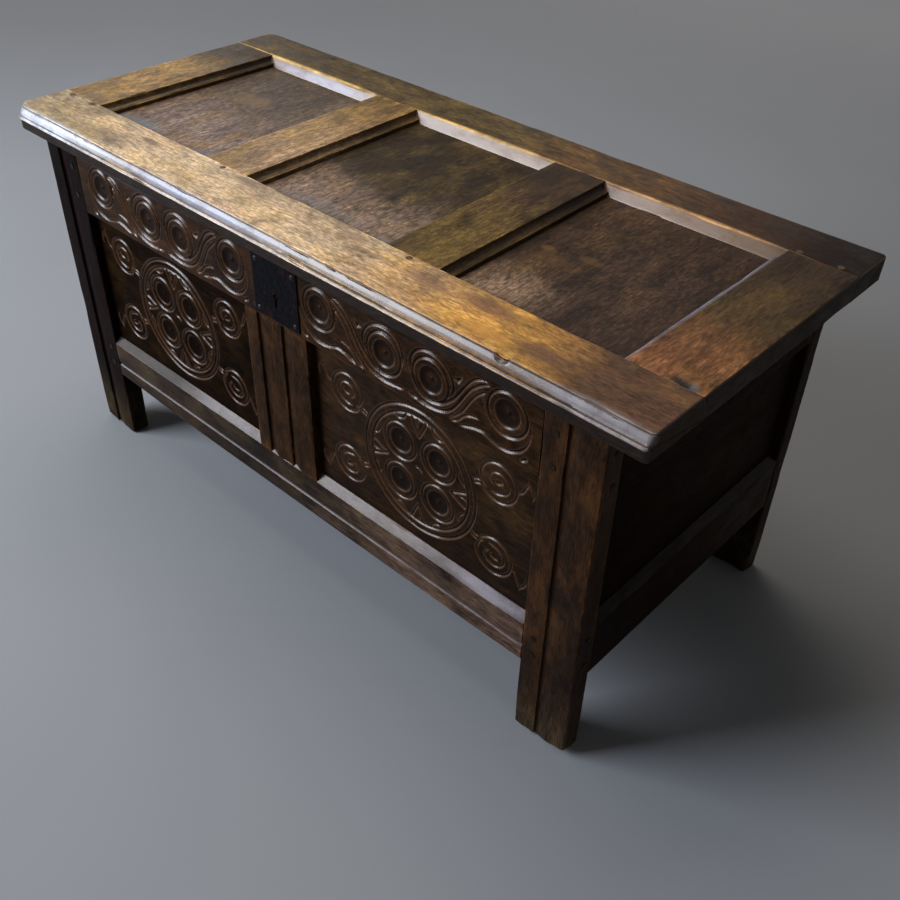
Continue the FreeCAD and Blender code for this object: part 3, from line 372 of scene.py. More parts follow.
PLACES = {"x": lambda u, v, s: (s, u, v), "y": lambda u, v, s: (u, s, v),
          "z": lambda u, v, s: (u, v, s)}
LONG_WAVE, LONG_GRAIN = 60, 260
FINE_WAVE, FINE_GRAIN = 18, 60
WAVE_DEPTH, FINE_DEPTH = 0.13, 0.022      # how far the faces' waves sink
RUB_DEPTH, KNOCK_DEPTH = 0.08, 0.5        # what rubbing and knocks take off the arrises
FLAT_PLAIN, FLAT_CARVED = 0.97, 0.94      # normals with less than this along an axis are bevels


def sweep(name, corners, along, seed, grain, place=None, step=9.0, end_round=1.2, wear=1.0,
          relief=None, bend=None, dents=(), hollow=None):
    """Timber with a moulded section, its faces a little wavy and its arrises rubbed and knocked.
    place(u, v, s) gives (x, depth, z) of a section's point, relief carves a face, bend moves
    points, dents are (x, depth, z, reach, depth), and hollow gives where old wax, dust and painted
    shade gather."""
    place = place or PLACES[grain]
    section, arris = outline(corners, step)
    tangent = np.roll(section, -1, axis=0) - np.roll(section, 1, axis=0)
    side = np.stack([tangent[:, 1], -tangent[:, 0]], 1)
    side /= np.maximum(np.linalg.norm(side, axis=1, keepdims=True), 1e-9)
    side *= turning(section)
    pace = along[1] - along[0]
    rounds = [(0, 0), (0, 0.04 * pace)]
    if end_round:
        rounds = [(end_round * (1 - math.sin(a)), end_round * (1 - math.cos(a)))
                  for a in np.radians((0, 30, 60, 90))]
    margin = end_round + 0.1 * pace
    rows = [(along[0] + shift, inset) for inset, shift in rounds]
    rows += [(spot, 0.0) for spot in along[1:-1]
             if along[0] + margin < spot < along[-1] - margin]
    rows += [(along[-1] - shift, inset) for inset, shift in reversed(rounds)]
    grid = np.array([np.stack(place(*(section - side * inset).T, np.full(len(section), spot)), -1)
                     for spot, inset in rows])
    sharp = np.tile(arris, (len(rows), 1))
    for end in (slice(None, len(rounds)), slice(-len(rounds), None)):
        sharp[end] = np.maximum(sharp[end], 1.0)
    low_corner, high_corner = grid.min(axis=(0, 1)), grid.max(axis=(0, 1))
    if bend is not None:
        grid = bend(grid)
    normal = normals(grid)
    long, fine = ([drawn if axis == grain else wave for axis in "xyz"]
                  for wave, drawn in ((LONG_WAVE, LONG_GRAIN), (FINE_WAVE, FINE_GRAIN)))
    sink = WAVE_DEPTH * (1 + np.maximum(ripple(grid, long, seed), -0.75))
    sink = wear * (sink + FINE_DEPTH * (1 + np.maximum(ripple(grid, fine, seed + 1), -1.0)))
    knocks = np.clip(ripple(grid, [k * 0.4 for k in long], seed + 2) - 0.2, 0, 1.3) ** 2
    sink = sink + np.clip(sharp, 0, 1) * wear * (RUB_DEPTH + KNOCK_DEPTH * knocks)
    for x, depth, z, reach, deep in dents:
        away = np.linalg.norm((grid - (x, depth, z)) / np.asarray(reach, float), axis=-1)
        sink = sink + deep * np.clip(1 - away ** 2, 0, 1) ** 1.5
    grid = grid - normal * sink[..., None]
    carved = np.zeros(sink.shape)
    if relief is not None:
        grid, carved = relief(grid)
    grid = np.clip(grid, low_corner, high_corner)
    flat = FLAT_PLAIN
    if relief is not None:
        normal, flat = normals(grid), FLAT_CARVED
    bevel = smooth_step(np.abs(normal).max(axis=-1), flat, flat - 0.1)
    ridge = bevel * (1 - np.clip((carved - 1.0) / 1.4, 0, 1))
    # old wax, dust and painted shade fill the cuts, but less the floors of the deepest ones, which
    # are rubbed
    grime_and_painted_shade = smooth_step(carved, 0.9, 3.3) * (1 - 0.75 * smooth_step(carved, 4.1, 4.6))
    # painted shade, with some old wax, in the inner corners of the section
    grime_and_painted_shade = np.maximum(grime_and_painted_shade, np.clip(-sharp, 0, 1) * 0.8)
    if hollow is not None:
        grime_and_painted_shade = np.maximum(grime_and_painted_shade, hollow(grid))
    return mesh_object(name, grid, {"arris": np.clip(sharp, 0, 1), "grime_and_painted_shade": grime_and_painted_shade, "bevel": bevel,
                                    "ridge": ridge})


# ---------------- materials

class Wire:
    """Output of a shader node. Arithmetic on it adds Math nodes."""

    def __init__(self, nodes, socket):
        self.nodes, self.socket = nodes, socket

    def __add__(self, other):
        return self.nodes.add("ShaderNodeMath", self, other, operation="ADD")

    def __sub__(self, other):
        return self.nodes.add("ShaderNodeMath", self, other, operation="SUBTRACT")

    def __mul__(self, other):
        return self.nodes.add("ShaderNodeMath", self, other, operation="MULTIPLY")

    def most(self, other):
        return self.nodes.add("ShaderNodeMath", self, other, operation="MAXIMUM")

    def remap(self, low, high, out_low=0.0, out_high=1.0):
        """Eased step from out_low at low to out_high at high."""
        return self.nodes.add("ShaderNodeMapRange", self, low, high, out_low, out_high,
                              interpolation_type="SMOOTHSTEP")


class Nodes:
    """Node tree, with short ways to add to it. Inputs take wires or plain values."""

    def __init__(self, tree):
        self.tree = tree

    def feed(self, socket, value):
        if isinstance(value, Wire):
            self.tree.links.new(value.socket, socket)
        elif socket.type == "RGBA":
            socket.default_value = (*value, 1.0)
        else:
            socket.default_value = value

    def add(self, kind, *values, output=0, **settings):
        """New node: values for its first inputs, settings for its properties and, with a capital,
        for inputs by name."""
        made = self.tree.nodes.new(kind)
        for key, value in settings.items():
            if key[0].isupper():
                self.feed(made.inputs[key], value)
            else:
                setattr(made, key, value)
        for socket, value in zip(made.inputs, values):
            self.feed(socket, value)
        return Wire(self, made.outputs[output])

    def mix(self, factor, first, second, blend="MIX"):
        """Mix of two colours."""
        made = self.tree.nodes.new("ShaderNodeMix")
        made.data_type, made.blend_type = "RGBA", blend
        for spot, value in ((0, factor), (6, first), (7, second)):
            self.feed(made.inputs[spot], value)
        return Wire(self, made.outputs[2])

    def noise(self, place, scale, stretch, detail, roughness=0.5):
        """Noise whose pattern is drawn out along the grain, which lies along the first axis."""
        drawn = self.add("ShaderNodeMapping", place, Scale=(scale / stretch, scale, scale))
        return self.add("ShaderNodeTexNoise", drawn, Scale=1.0, Detail=detail,
                        Roughness=roughness)

    def bump(self, height, distance, strength):
        return self.add("ShaderNodeBump", Height=height, Distance=distance, Strength=strength)

    def shade(self, values):
        """Feed inputs of the shader by name."""
        for key, value in values.items():
            self.feed(self.tree.nodes["Principled BSDF"].inputs[key], value)

    def field(self, name):
        """Value that a swept timber's mesh carries."""
        return self.add("ShaderNodeAttribute", attribute_name=name, output="Fac")

    def spot(self, world, centre, size):
        """1 at a place on the object, falling to 0 at an ellipsoid of the given half sizes."""
        moved = self.add("ShaderNodeMapping", world, Scale=[1 / s for s in size],
                         Location=[-c / s for c, s in zip(centre, size)])
        return self.add("ShaderNodeVectorMath", moved, operation="LENGTH",
                        output="Value").remap(1.0, 0.35)


def new_material(name):
    """Material, its nodes, and the place on the object as a wire."""
    material = bpy.data.materials.new(name)
    material.use_nodes = True
    nodes = Nodes(material.node_tree)
    return material, nodes, nodes.add("ShaderNodeTexCoord", output="Object")


GRAIN_TURN = {"x": (0, 0, 0), "y": (0, 0, math.pi / 2), "z": (0, math.pi / 2, 0)}
RUBBED_BARE = (1.9, 1.85, 1.75)        # what worn arrises multiply the colour by
WARP = (0.0, 0.016, 0.016)             # how far the grain wanders, along it and across
PORE_DEPTH, HAMMER_DEPTH = 0.0006, 0.0012
WAX_ROUGHNESS = 0.27
RUST = (0.075, 0.030, 0.014)


def light_of(tone):
    """Linear light of a tone that is written in thousandths."""
    return tuple(part / 1000 for part in tone)


def oak(name, grain, seed, dark, light, patina=None, gold=(2.1, 1.9, 1.35), deep=None, grime_and_painted_shade_tone=None,
        speck=0.0, rub=0.0, gloss=(0.34, 0.56), fades=(), stains=(), grime_and_painted_shade_share=0.85, figure=0.5,
        shine=0.26, tint=(1.0, 0.74, 0.52), bevel_tone=None, bevel_share=0.6, contrast=1.0,
        spec_left=0.2):
    """Old waxed oak.
    dark and light are the two ends of the grain, patina the worn-in patches, gold what the ray
    flecks multiply it by, deep the pores and the blotches of old wax, and
    grime_and_painted_shade_tone the tone that old wax, dust and painted shade in the hollows
    darken it toward, by grime_and_painted_shade_share. Fades are tones laid over it along an axis:
    (axis, from, to, dark, light, patina); some on the lid are painted shade and sheen, as marked
    where they are used. Stains are (centre, half sizes, tone, share); some are painted sheen,
    highlights and shade, as marked.
    contrast is that of the blotches, speck that of small flecks and figure that of the rays.
    bevel_tone is laid on the ridges and bevels, by bevel_share; where it is lighter than the wood
    it is a painted highlight, in part on the carvings and the lid's back rail, in whole on the
    bottom rail. gloss is the range of roughness, shine the specular level and tint its colour. rub
    is the wax coat on the bevels, and spec_left its share under the old wax, dust and painted
    shade."""
    dark, light = light_of(dark), light_of(light)
    deep = light_of(deep) if deep else tuple(part * 0.35 for part in dark)
    grime_and_painted_shade_tone = light_of(grime_and_painted_shade_tone) if grime_and_painted_shade_tone else deep
    material, nodes, world = new_material(name)
    rng = np.random.default_rng(seed)
    turned = nodes.add("ShaderNodeMapping", world, vector_type="TEXTURE",
                       Rotation=GRAIN_TURN[grain], Location=tuple(rng.uniform(-9, 9, 3)))
    drift = nodes.add("ShaderNodeTexNoise", turned, Scale=5.0, Detail=2.0, output="Color")
    place = nodes.add("ShaderNodeVectorMath", drift, WARP, turned, operation="MULTIPLY_ADD")

    bands = nodes.noise(place, 60.0, 9.0, 5.0, 0.65)
    streaks = nodes.noise(place, 300.0, 5.5, 4.0, 0.68)
    pores = nodes.noise(place, 900.0, 18.0, 2.0, 0.5)
    mottle = nodes.noise(place, 8.0, 1.4, 6.0, 0.68)
    blotch = nodes.noise(place, 30.0, 1.7, 8.0, 0.72)
    flecks = nodes.noise(place, 230.0, 3.2, 2.0, 0.6)
    clusters = nodes.noise(place, 17.0, 1.5, 3.0, 0.6)

    tone = bands.remap(0.38, 0.62) * 0.42 + streaks.remap(0.37, 0.63) * 0.58
    worn_in = clusters.remap(0.46, 0.66, 0.0, 0.7)
    colour = nodes.mix(tone, dark, light)
    if patina:
        colour = nodes.mix(worn_in, colour, light_of(patina))
    for axis, start, end, *tones in fades:
        fade_dark, fade_light, fade_patina = map(light_of, tones)
        spot = nodes.add("ShaderNodeSeparateXYZ", world, output="XYZ".index(axis))
        ragged = spot + (mottle - 0.5) * (1.6 * abs(end - start))
        share = ragged.remap(start, end) if start < end else ragged.remap(end, start, 1.0, 0.0)
        laid = nodes.mix(worn_in, nodes.mix(tone, fade_dark, fade_light), fade_patina)
        colour = nodes.mix(share, colour, laid)
    shade = (mottle.remap(0.34, 0.62, 1 - 0.38 * contrast, 1.1)
             * blotch.remap(0.34, 0.60, 1 - 0.5 * contrast, 1.12))
    if speck:
        nicks = nodes.noise(place, 210.0, 2.2, 3.0, 0.7)
        shade = shade * nicks.remap(0.38, 0.62, 1 - 0.5 * speck, 1 + 0.22 * speck)
    grey = nodes.add("ShaderNodeCombineColor", shade, shade, shade)
    colour = nodes.mix(1.0, colour, grey, "MULTIPLY")
    colour = nodes.mix(blotch.remap(0.42, 0.33, 0.0, 0.7 * contrast), colour, deep)
    glint = flecks.remap(0.56, 0.68) * clusters.remap(0.42, 0.6, 0.15 * figure, figure)
    colour = nodes.mix(glint, colour, nodes.mix(1.0, colour, gold, "MULTIPLY"))
    colour = nodes.mix(pores.remap(0.36, 0.46, 0.6, 0.0), colour, deep)
    bevel = nodes.field("bevel")
    # a tone of their own on the upper slopes of ridges and bevels; a lighter one is painted
    # highlight, in part on the carvings and the lid's back rail, in whole on the bottom rail
    if bevel_tone:
        colour = nodes.mix(nodes.field("ridge") * bevel_share, colour, light_of(bevel_tone))
    # stains; some of them are painted sheen, highlights and shade, as marked where they are used
    for centre, size, stain, share in stains:
        mask = nodes.spot(world, centre, size) * blotch.remap(0.3, 0.6, 0.45 * share, share)
        colour = nodes.mix(mask, colour, light_of(stain))
    rubbed = nodes.field("arris") * blotch.remap(0.42, 0.6, 0.15, 1.0)
    colour = nodes.mix(rubbed, colour, nodes.mix(1.0, colour, RUBBED_BARE, "MULTIPLY"))
    # darkening toward grime_and_painted_shade_tone where the mesh's field says: old wax and dust,
    # and painted shade
    grime_and_painted_shade_mask = nodes.field("grime_and_painted_shade") * mottle.remap(0.3, 0.7, grime_and_painted_shade_share, grime_and_painted_shade_share * 0.75)
    polish = bevel * blotch.remap(0.36, 0.56, 0.55, 1.0)
    height = pores.remap(0.34, 0.5) * 0.45 + streaks * 0.6 + blotch * 0.8
    nodes.shade({
        "Base Color": nodes.mix(grime_and_painted_shade_mask, colour, grime_and_painted_shade_tone),
        "Roughness": blotch.remap(0.34, 0.66, *gloss) + grime_and_painted_shade_mask * 0.18 - polish * 0.16,
        "Specular IOR Level": shine, "Specular Tint": tint,
        "Normal": nodes.bump(height, PORE_DEPTH, bevel.remap(0.0, 1.0, 0.5, 0.2))})
    if rub:
        nodes.shade({"Coat Weight": polish * grime_and_painted_shade_mask.remap(0.0, 1.0, rub, rub * spec_left),
                     "Coat Roughness": WAX_ROUGHNESS})
    return material


def iron(name, seed, rust=0.35, base=(0.020, 0.020, 0.023), metal=0.55, shine=0.5):
    """Old wrought iron: dark, hammered, rusty where the moisture sits."""
    material, nodes, world = new_material(name)
    place = nodes.add("ShaderNodeMapping", world, Location=(seed, seed * 0.7, -seed))
    coarse = nodes.noise(place, 70.0, 1.0, 4.0, 0.6)
    fine = nodes.noise(place, 600.0, 1.0, 3.0, 0.6)
    dents = nodes.add("ShaderNodeTexVoronoi", place, feature="SMOOTH_F1", Scale=130.0,
                      output="Distance")
    colour = nodes.mix(fine.remap(0.35, 0.65), base, tuple(c * 2.2 for c in base))
    colour = nodes.mix(coarse.remap(0.5, 0.66, 0.0, rust), colour, RUST)
    nodes.shade({"Base Color": colour, "Metallic": metal, "Specular IOR Level": shine,
                 "Roughness": coarse.remap(0.35, 0.65, 0.42, 0.68),
                 "Normal": nodes.bump(dents * 1.4 + fine * 0.35, HAMMER_DEPTH, 0.5)})
    return material


def timber(label, suffix, slot, grain, seed, corners, along, wood, body="carcase", **shape):
    """Swept timber that rides on its body in place of its CAD node, in an oak of its own."""
    thing = sweep(f"{label}_{suffix}", corners, along, seed, grain, **shape)
    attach(thing, body)
    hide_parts(label)
    thing.data.materials.append(oak(label + "_wood", grain, seed, **wood))


# ---------------- tones of the wood

# Tints and the flecks' gold are multipliers. All other tones are in thousandths of linear light.
DARK_TINT, LID_TINT = (1.0, 0.72, 0.48), (1.0, 0.78, 0.62)
FRONT_DARK, FRONT_WARM = (11.5, 4.3, 1.6), (66, 26, 8)
# carved pieces: the dark tone in the cuts is old wax and painted shade; the warm bevel_tone on the
# ridges' upper slopes is partly rubbed wood, partly painted highlight
CARVED = dict(grime_and_painted_shade_share=1.0, rub=0.8, grime_and_painted_shade_tone=(6.8, 3.6, 3.0), tint=DARK_TINT, bevel_tone=(165, 68, 24),
              spec_left=0.25)
END_WOOD = dict(dark=(8.5, 3.6, 1.8), shine=0.02, tint=DARK_TINT)
RAW = dict(dark=(60, 36, 19), light=(160, 105, 60), gloss=(0.6, 0.8))
# tone that old wax, dust and painted shade darken the lid toward
LID_GRIME_AND_PAINTED_SHADE = (5, 2.8, 3)
UNDER = (40, 22, 12), (110, 66, 37), (95, 58, 30)
LID_UNDERSIDE = ("Z", 0.5534, 0.5524, *UNDER)
# the lid's right end face is near black: darker end grain, and painted shade where it faces away
# from the window
LID_END_GRAIN_AND_PAINTED_SHADE = ("X", 0.5975, 0.5990, (4, 2, 1.5), (14, 7, 4), (18, 9, 5))
DAMP_FOOT = ("Z", 0.14, -0.02, (22, 14, 7), (70, 47, 24), (90, 62, 30))


def raw_inside(axis, start, end):
    """Fade to bare old wood on the face that looks into the chest."""
    return axis, start, end, RAW["dark"], RAW["light"], (130, 85, 45)


# ---------------- carcase: front frame

CHANNEL_WALL, CHANNEL_DEPTH = 9, 3.0
STILE_MIDDLE = 503.0
FOOT_TAPER, FOOT_REACH = 0.03, 60


def stile_section(sign, rear):
    """Section of a corner post in the plane (x, depth), with the scratched channel in front."""
    if rear:
        return [(STILE_IN * sign, REAR - STILE_THICK, 1.0),
                (STILE_OUT * sign, REAR - STILE_THICK, 2.0),
                (STILE_OUT * sign, REAR, 3.0), (STILE_IN * sign, REAR, 1.6)]
    low, high = sorted((STILE_IN * sign, STILE_OUT * sign))
    wall = (low + high) / 2 - CHANNEL_WALL
    worn_low, worn_high = (3.5, 1.4)[::-sign]
    return [(low, STILE_THICK, 1.2), (low, 0, worn_low), (wall - 0.4, 0, 0.5),
            (wall + 0.5, CHANNEL_DEPTH, 0.4), (wall + 5, 2.9, 1.0), (wall + 15, 0.9, 3.0),
            (wall + 20, 0, 2.0), (high, 0, worn_high), (high, STILE_THICK, 1.2)]


def foot_wear(left, rear):
    """Post that is rounded and worn away where it stood on damp floors."""
    middle = -STILE_MIDDLE if left else STILE_MIDDLE
    chip = 0.0 if rear else 3.0 if left else 8.0
    deep, waves, seed = (1.5, (30, 30, 60), 80) if rear else (1.2, (26, 26, 60), 78)

    def bend(grid):
        x, depth, z = (grid[..., axis] for axis in range(3))
        corner = smooth_step(np.abs(x), 505, 545) * smooth_step(depth, 24, 0)
        uneven = 1 + ripple(grid, waves, seed - left)
        narrow = 1 - FOOT_TAPER * smooth_step(z, FOOT_REACH, 0)
        out = moved(grid, 0, middle + (x - middle) * narrow)
        return moved(out, 2, z + chip * corner * smooth_step(z, 26, 0)
                     + smooth_step(z, 20, 0) * deep * uneven)
    return bend


for side, sign in SIDES:
    left = sign < 0
    for rear in (False, True):
        wood = (dict(dark=END_WOOD["dark"], light=(28, 12.5, 6), shine=0.03) if rear
                else dict(dark=(3, 1.2, 1.2), light=(13, 5, 4.5), shine=0.03) if left
                else dict(dark=FRONT_DARK, light=(40, 15.5, 6), patina=FRONT_WARM, shine=0.14))
        inside = (0.2546, 0.2560) if rear else (-0.2197, -0.2187)
        timber(f"{'back' if rear else 'front'}_{side}_stile", "post", "carcase_oak", "z",
               20 + 2 * left + rear, stile_section(sign, rear),
               stations(0.0, CARCASE_TOP, 9.0, [(8, 10, 3.0)]),
               dict(wood, tint=DARK_TINT, fades=[DAMP_FOOT, raw_inside("Y", *inside)]),
               step=7.0, end_round=2.0, wear=1.3, bend=foot_wear(left, rear))


def carved(carving, face):
    """Relief that sinks the flat front face of a piece by a carving's depth."""
    def relief(grid):
        cut = carving(grid[..., 0], grid[..., 2])
        cut = cut * (0.93 + 0.07 * ripple(grid, (30, 30, 30), 5))
        cut = np.where(np.abs(grid[..., 1] - face) < 0.75, cut, 0.0)
        return moved(grid, 1, grid[..., 1] + cut), np.minimum(cut, 6.0)
    return relief


RAIL_CARVE_STEP, PANEL_CARVE_STEP = 1.2, 1.25
RAIL_INSIDE = raw_inside("Y", -0.2216, -0.2206)

timber("front_top_rail", "carved", "carcase_oak", "x", 31,
       [(RAIL_THICK, RAIL_FOOT, 1.0), (RAIL_THICK, CARCASE_TOP, 1.0, 20), (0, CARCASE_TOP, 1.2),
        (0, RAIL_FOOT, 2.0, RAIL_CARVE_STEP)],
       stations(-STILE_IN, STILE_IN, RAIL_CARVE_STEP),
       dict(CARVED, dark=FRONT_DARK, light=(44, 18, 7), patina=FRONT_WARM, gloss=(0.28, 0.46),
            shine=0.065, bevel_share=0.65, fades=[RAIL_INSIDE],
            # the bluish stain on the plain strip toward the left is a painted sheen
            stains=[((-0.33, -0.25, 0.545), (0.17, 0.012, 0.012), (80, 70, 112), 0.95)]),
       step=12.0, end_round=0.6, relief=carved(rail_carving, 0.0))


def edge_grime_and_painted_shade(axes, low, high, share=0.9, reach=7.0):
    """Old wax and dust, with painted shade, along the edges of a framed panel, which lies along
    two axes.
    """
    across = ["xyz".index(axis) for axis in axes]

    def field(grid):
        spots = grid[..., across]
        edge = np.minimum(spots - low, high - spots).min(axis=-1)
        return share * np.exp(-np.clip(edge, 0, None) / reach)
    return field


def panel_ends(sign):
    """Left and right edges of the opening that holds a front or back panel."""
    return sorted((MUNTIN_HALF * sign, STILE_IN * sign))


for side, sign in SIDES:
    low, high = panel_ends(sign)
    foot, top = BOTTOM_TOP - LIP, RAIL_FOOT + LIP
    share, shine = (0.5, 0.01) if sign < 0 else (1.0, 0.08)
    dark, light, patina = ([part * share for part in tone]
                           for tone in ((10.5, 4.5, 1.8), (38, 16.5, 6.8), (50, 24, 8)))
    timber(f"front_{side}_panel", "carved", "panel_oak", "x", 41 + sign,
           [(PANEL_BACK, foot, 0.5), (PANEL_BACK, top, 0.5, 40), (PANEL_FACE, top, 0.5),
            (PANEL_FACE, foot, 0.5, PANEL_CARVE_STEP)],
           stations(low - LIP, high + LIP, PANEL_CARVE_STEP),
           dict(CARVED, dark=dark, light=light, patina=patina, gloss=(0.30, 0.48), shine=shine,
                fades=[raw_inside("Y", -0.2296, -0.2286)]),
           end_round=0.4, relief=carved(panel_carving, PANEL_FACE),
           hollow=edge_grime_and_painted_shade("xz", (low, BOTTOM_TOP), (high, RAIL_FOOT)))


def bottom_edge(grid):
    """Lower edge of the front bottom rail, planed by eye and worn."""
    x, z = grid[..., 0], grid[..., 2]
    drop = np.interp(x, (-460, -300, -100, 120, 300, 460), (5.0, -0.5, -4.5, -4.0, -1.0, 2.0))
    return moved(grid, 2, z + drop * smooth_step(z, 150, 129))


def dull_end(grid):
    """Dust and wax left on the bevel toward the left post."""
    return 0.95 * smooth_step(grid[..., 2], 197, 199) * smooth_step(grid[..., 0], -130, -300)


timber("front_bottom_rail", "worn", "carcase_oak", "x", 33,
       [(RAIL_THICK, BOTTOM_FOOT, 1.5), (RAIL_THICK, BOTTOM_TOP, 1.0),
        (BEVEL_RUN, BOTTOM_TOP, 0.8), (0, BOTTOM_TOP - BEVEL_RISE, 1.2), (0, 170, 2.0),
        (1.0, 161, 3.0), (2.6, 157.8, 0.4), (2.6, 157.0, 0.3), (0.2, 154.6, 0.4),
        (0, BOTTOM_FOOT, 2.4)],
       stations(-STILE_IN, STILE_IN, 8.0),
       dict(dark=(14, 7.5, 4.5), light=(48, 28, 17), patina=(60, 40, 20), gloss=(0.32, 0.50),
            # the pale bevel_tone on the bevel and on the scratched line's wall is a painted
            # highlight
            shine=0.09, rub=0.32, tint=DARK_TINT, spec_left=0.05, bevel_tone=(130, 98, 96),
            fades=[("X", 0.0, 0.30, (48, 25, 17), (148, 86, 60), (119, 76, 43)), RAIL_INSIDE],
            # the pale bluish stain toward the right of the bevel is a painted reflection
            stains=[((0.40, -0.2447, 0.204), (0.10, 0.012, 0.012), (300, 270, 310), 0.6)]),
       step=6.0, end_round=0.5, wear=0.7, bend=bottom_edge, hollow=dull_end)


def scribed_foot(u, v, s):
    """Upright whose foot is cut over the bottom rail's bevel. s runs from 0 at the foot to 1."""
    foot = BOTTOM_TOP - BEVEL_RISE * np.clip(1 - v / BEVEL_RUN, 0, 1)
    return u, v, foot + (RAIL_FOOT - foot) * s


def channelled(half, walls, depth, back):
    """Section with scratched channels: a steep wall on the left and a soft rise to the right."""
    corners = [(-half, back, 1.0), (-half, 0, 1.6)]
    for wall in walls:
        corners += [(wall - 0.4, 0, 0.5), (wall + 0.5, depth, 0.4), (wall + 5, depth * 0.95, 1.0),
                    (wall + 13, depth * 0.3, 3.0), (wall + 18, 0, 2.0)]
    return corners + [(half, 0, 1.6), (half, back, 1.0)]


timber("front_muntin", "channelled", "carcase_oak", "z", 35,
       channelled(MUNTIN_HALF, (-38, 13), CHANNEL_DEPTH, MUNTIN_THICK), np.linspace(0, 1, 32),
       dict(dark=FRONT_DARK, light=(48, 21, 8), patina=FRONT_WARM, shine=0.06, tint=DARK_TINT,
            fades=[raw_inside("Y", -0.2236, -0.2226)]),
       place=scribed_foot, step=6.0, end_round=0.0)

# ---------------- carcase: back, ends and floor


def board(label, low, high, grain, seed, wood, slot="carcase_oak", corners=None, round_by=1.4,
          step=14.0, lip=(0, 0, 0), close=(), body="carcase", **shape):
    """Plain timber between two corners (x, depth, z), its grain along one axis."""
    low, high = np.array(low, float) - lip, np.array(high, float) + lip
    axis = "xyz".index(grain)
    a, b = (k for k in range(3) if k != axis)
    corners = corners or [(low[a], low[b], round_by), (low[a], high[b], round_by),
                          (high[a], high[b], round_by), (high[a], low[b], round_by)]
    timber(label, "board", slot, grain, seed, corners,
           stations(low[axis], high[axis], step, close), wood, body, step=step,
           end_round=round_by * 0.7, **shape)


STRAP_X, SEAT_HALF, SEAT_LEVEL = 397.0, 14.4, 548.4


def strap_seats(grid):
    """Notches in the back rail's top for the two lid straps."""
    x, z = grid[..., 0], grid[..., 2]
    return moved(grid, 2, np.where(np.abs(np.abs(x) - STRAP_X) < SEAT_HALF,
                                   np.minimum(z, SEAT_LEVEL), z))


board("back_top_rail", (-STILE_IN, REAR - RAIL_THICK, RAIL_FOOT), (STILE_IN, REAR, CARCASE_TOP),
      "x", 51, RAW, bend=strap_seats,
      close=[(sign * STRAP_X + edge, 1.0, 0.6) for sign in (-1, 1)
             for edge in (-SEAT_HALF, SEAT_HALF)])
board("back_bottom_rail", (-STILE_IN, REAR - RAIL_THICK, BOTTOM_FOOT),
      (STILE_IN, REAR, BOTTOM_TOP), "x", 52, RAW)
board("back_muntin", (-MUNTIN_HALF, REAR - MUNTIN_THICK, BOTTOM_TOP),
      (MUNTIN_HALF, REAR, RAIL_FOOT), "z", 53, RAW)
for side, sign in SIDES:
    low, high = panel_ends(sign)
    board(f"back_{side}_panel", (low, REAR - PANEL_BACK, BOTTOM_TOP),
          (high, REAR - PANEL_FACE, RAIL_FOOT), "x", 54 + sign,
          dict(RAW, dark=(52, 31, 16), light=(140, 92, 52)), "panel_oak", lip=(LIP, 0, LIP),
          hollow=edge_grime_and_painted_shade("xz", (low, BOTTOM_TOP), (high, RAIL_FOOT)))

FORE, AFT = STILE_THICK, REAR - STILE_THICK
for side, sign in SIDES:
    inner, outer = END_INNER * sign, STILE_OUT * sign
    low, high = sorted((inner, outer))
    rail_fade = [raw_inside("X", 0.5178 * sign, 0.5168 * sign)]
    board(f"{side}_end_top_rail", (low, FORE, RAIL_FOOT), (high, AFT, CARCASE_TOP), "y",
          60 + sign, dict(END_WOOD, light=(14, 6, 3), fades=rail_fade))
    board(f"{side}_end_bottom_rail", (low, FORE, END_FOOT), (high, AFT, END_TOP), "y", 63 + sign,
          dict(END_WOOD, light=(18, 8, 4), shine=0.05, rub=0.28, fades=rail_fade), step=9.0,
          corners=[(inner, END_FOOT, 1.4), (inner, END_TOP, 1.0),
                   (outer - BEVEL_RUN * sign, END_TOP, 0.8), (outer, END_TOP - BEVEL_RISE, 1.2),
                   (outer, END_FOOT, 2.2)])
    low, high = sorted((outer - PANEL_BACK * sign, outer - PANEL_FACE * sign))
    board(f"{side}_end_panel", (low, FORE, END_TOP), (high, AFT, RAIL_FOOT), "y", 66 + sign,
          dict(END_WOOD, light=(20, 8, 4),
               fades=[raw_inside("X", 0.5256 * sign, 0.5246 * sign)]),
          "panel_oak", lip=(0, LIP, LIP),
          hollow=edge_grime_and_painted_shade("yz", (FORE, END_TOP), (AFT, RAIL_FOOT)))

FLOOR_SIDE, FLOOR_GAP = STILE_IN + 54, STILE_THICK + 1
FLOOR_FOOT, FLOOR_TOP = 160, 174
for number in range(1, 6):
    label = f"bottom_board_{number}"
    low, high = ([metres * 1000 for metres in corner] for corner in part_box(label))
    board(label, (max(low[0], -FLOOR_SIDE), max(low[1] - FRONT_FACE, FLOOR_GAP), FLOOR_FOOT),
          (min(high[0], FLOOR_SIDE), min(high[1] - FRONT_FACE, REAR - FLOOR_GAP), FLOOR_TOP),
          "y", 70 + number, RAW, "floor_oak")

# ---------------- lid

UPPER_QUIRK, LOWER_QUIRK, BEAD_FOOT = 583.4, 571.9, 567.4
END_FACE = 599.0


def round_plan(x_sign, depth_edge, depth_sign, radius, fade):
    """Corner of the lid worn round in plan; the moulding sweeps round with it."""
    def bend(grid):
        x, depth = grid[..., 0], grid[..., 1]
        inside = np.clip(radius - (LID_END - x * x_sign), 0, radius)
        shift = radius - np.sqrt(np.maximum(radius ** 2 - inside ** 2, 0))
        share = np.clip(1 - np.abs(depth - depth_edge) / fade, 0, 1)
        return moved(grid, 1, depth - shift * share * depth_sign)
    return bend


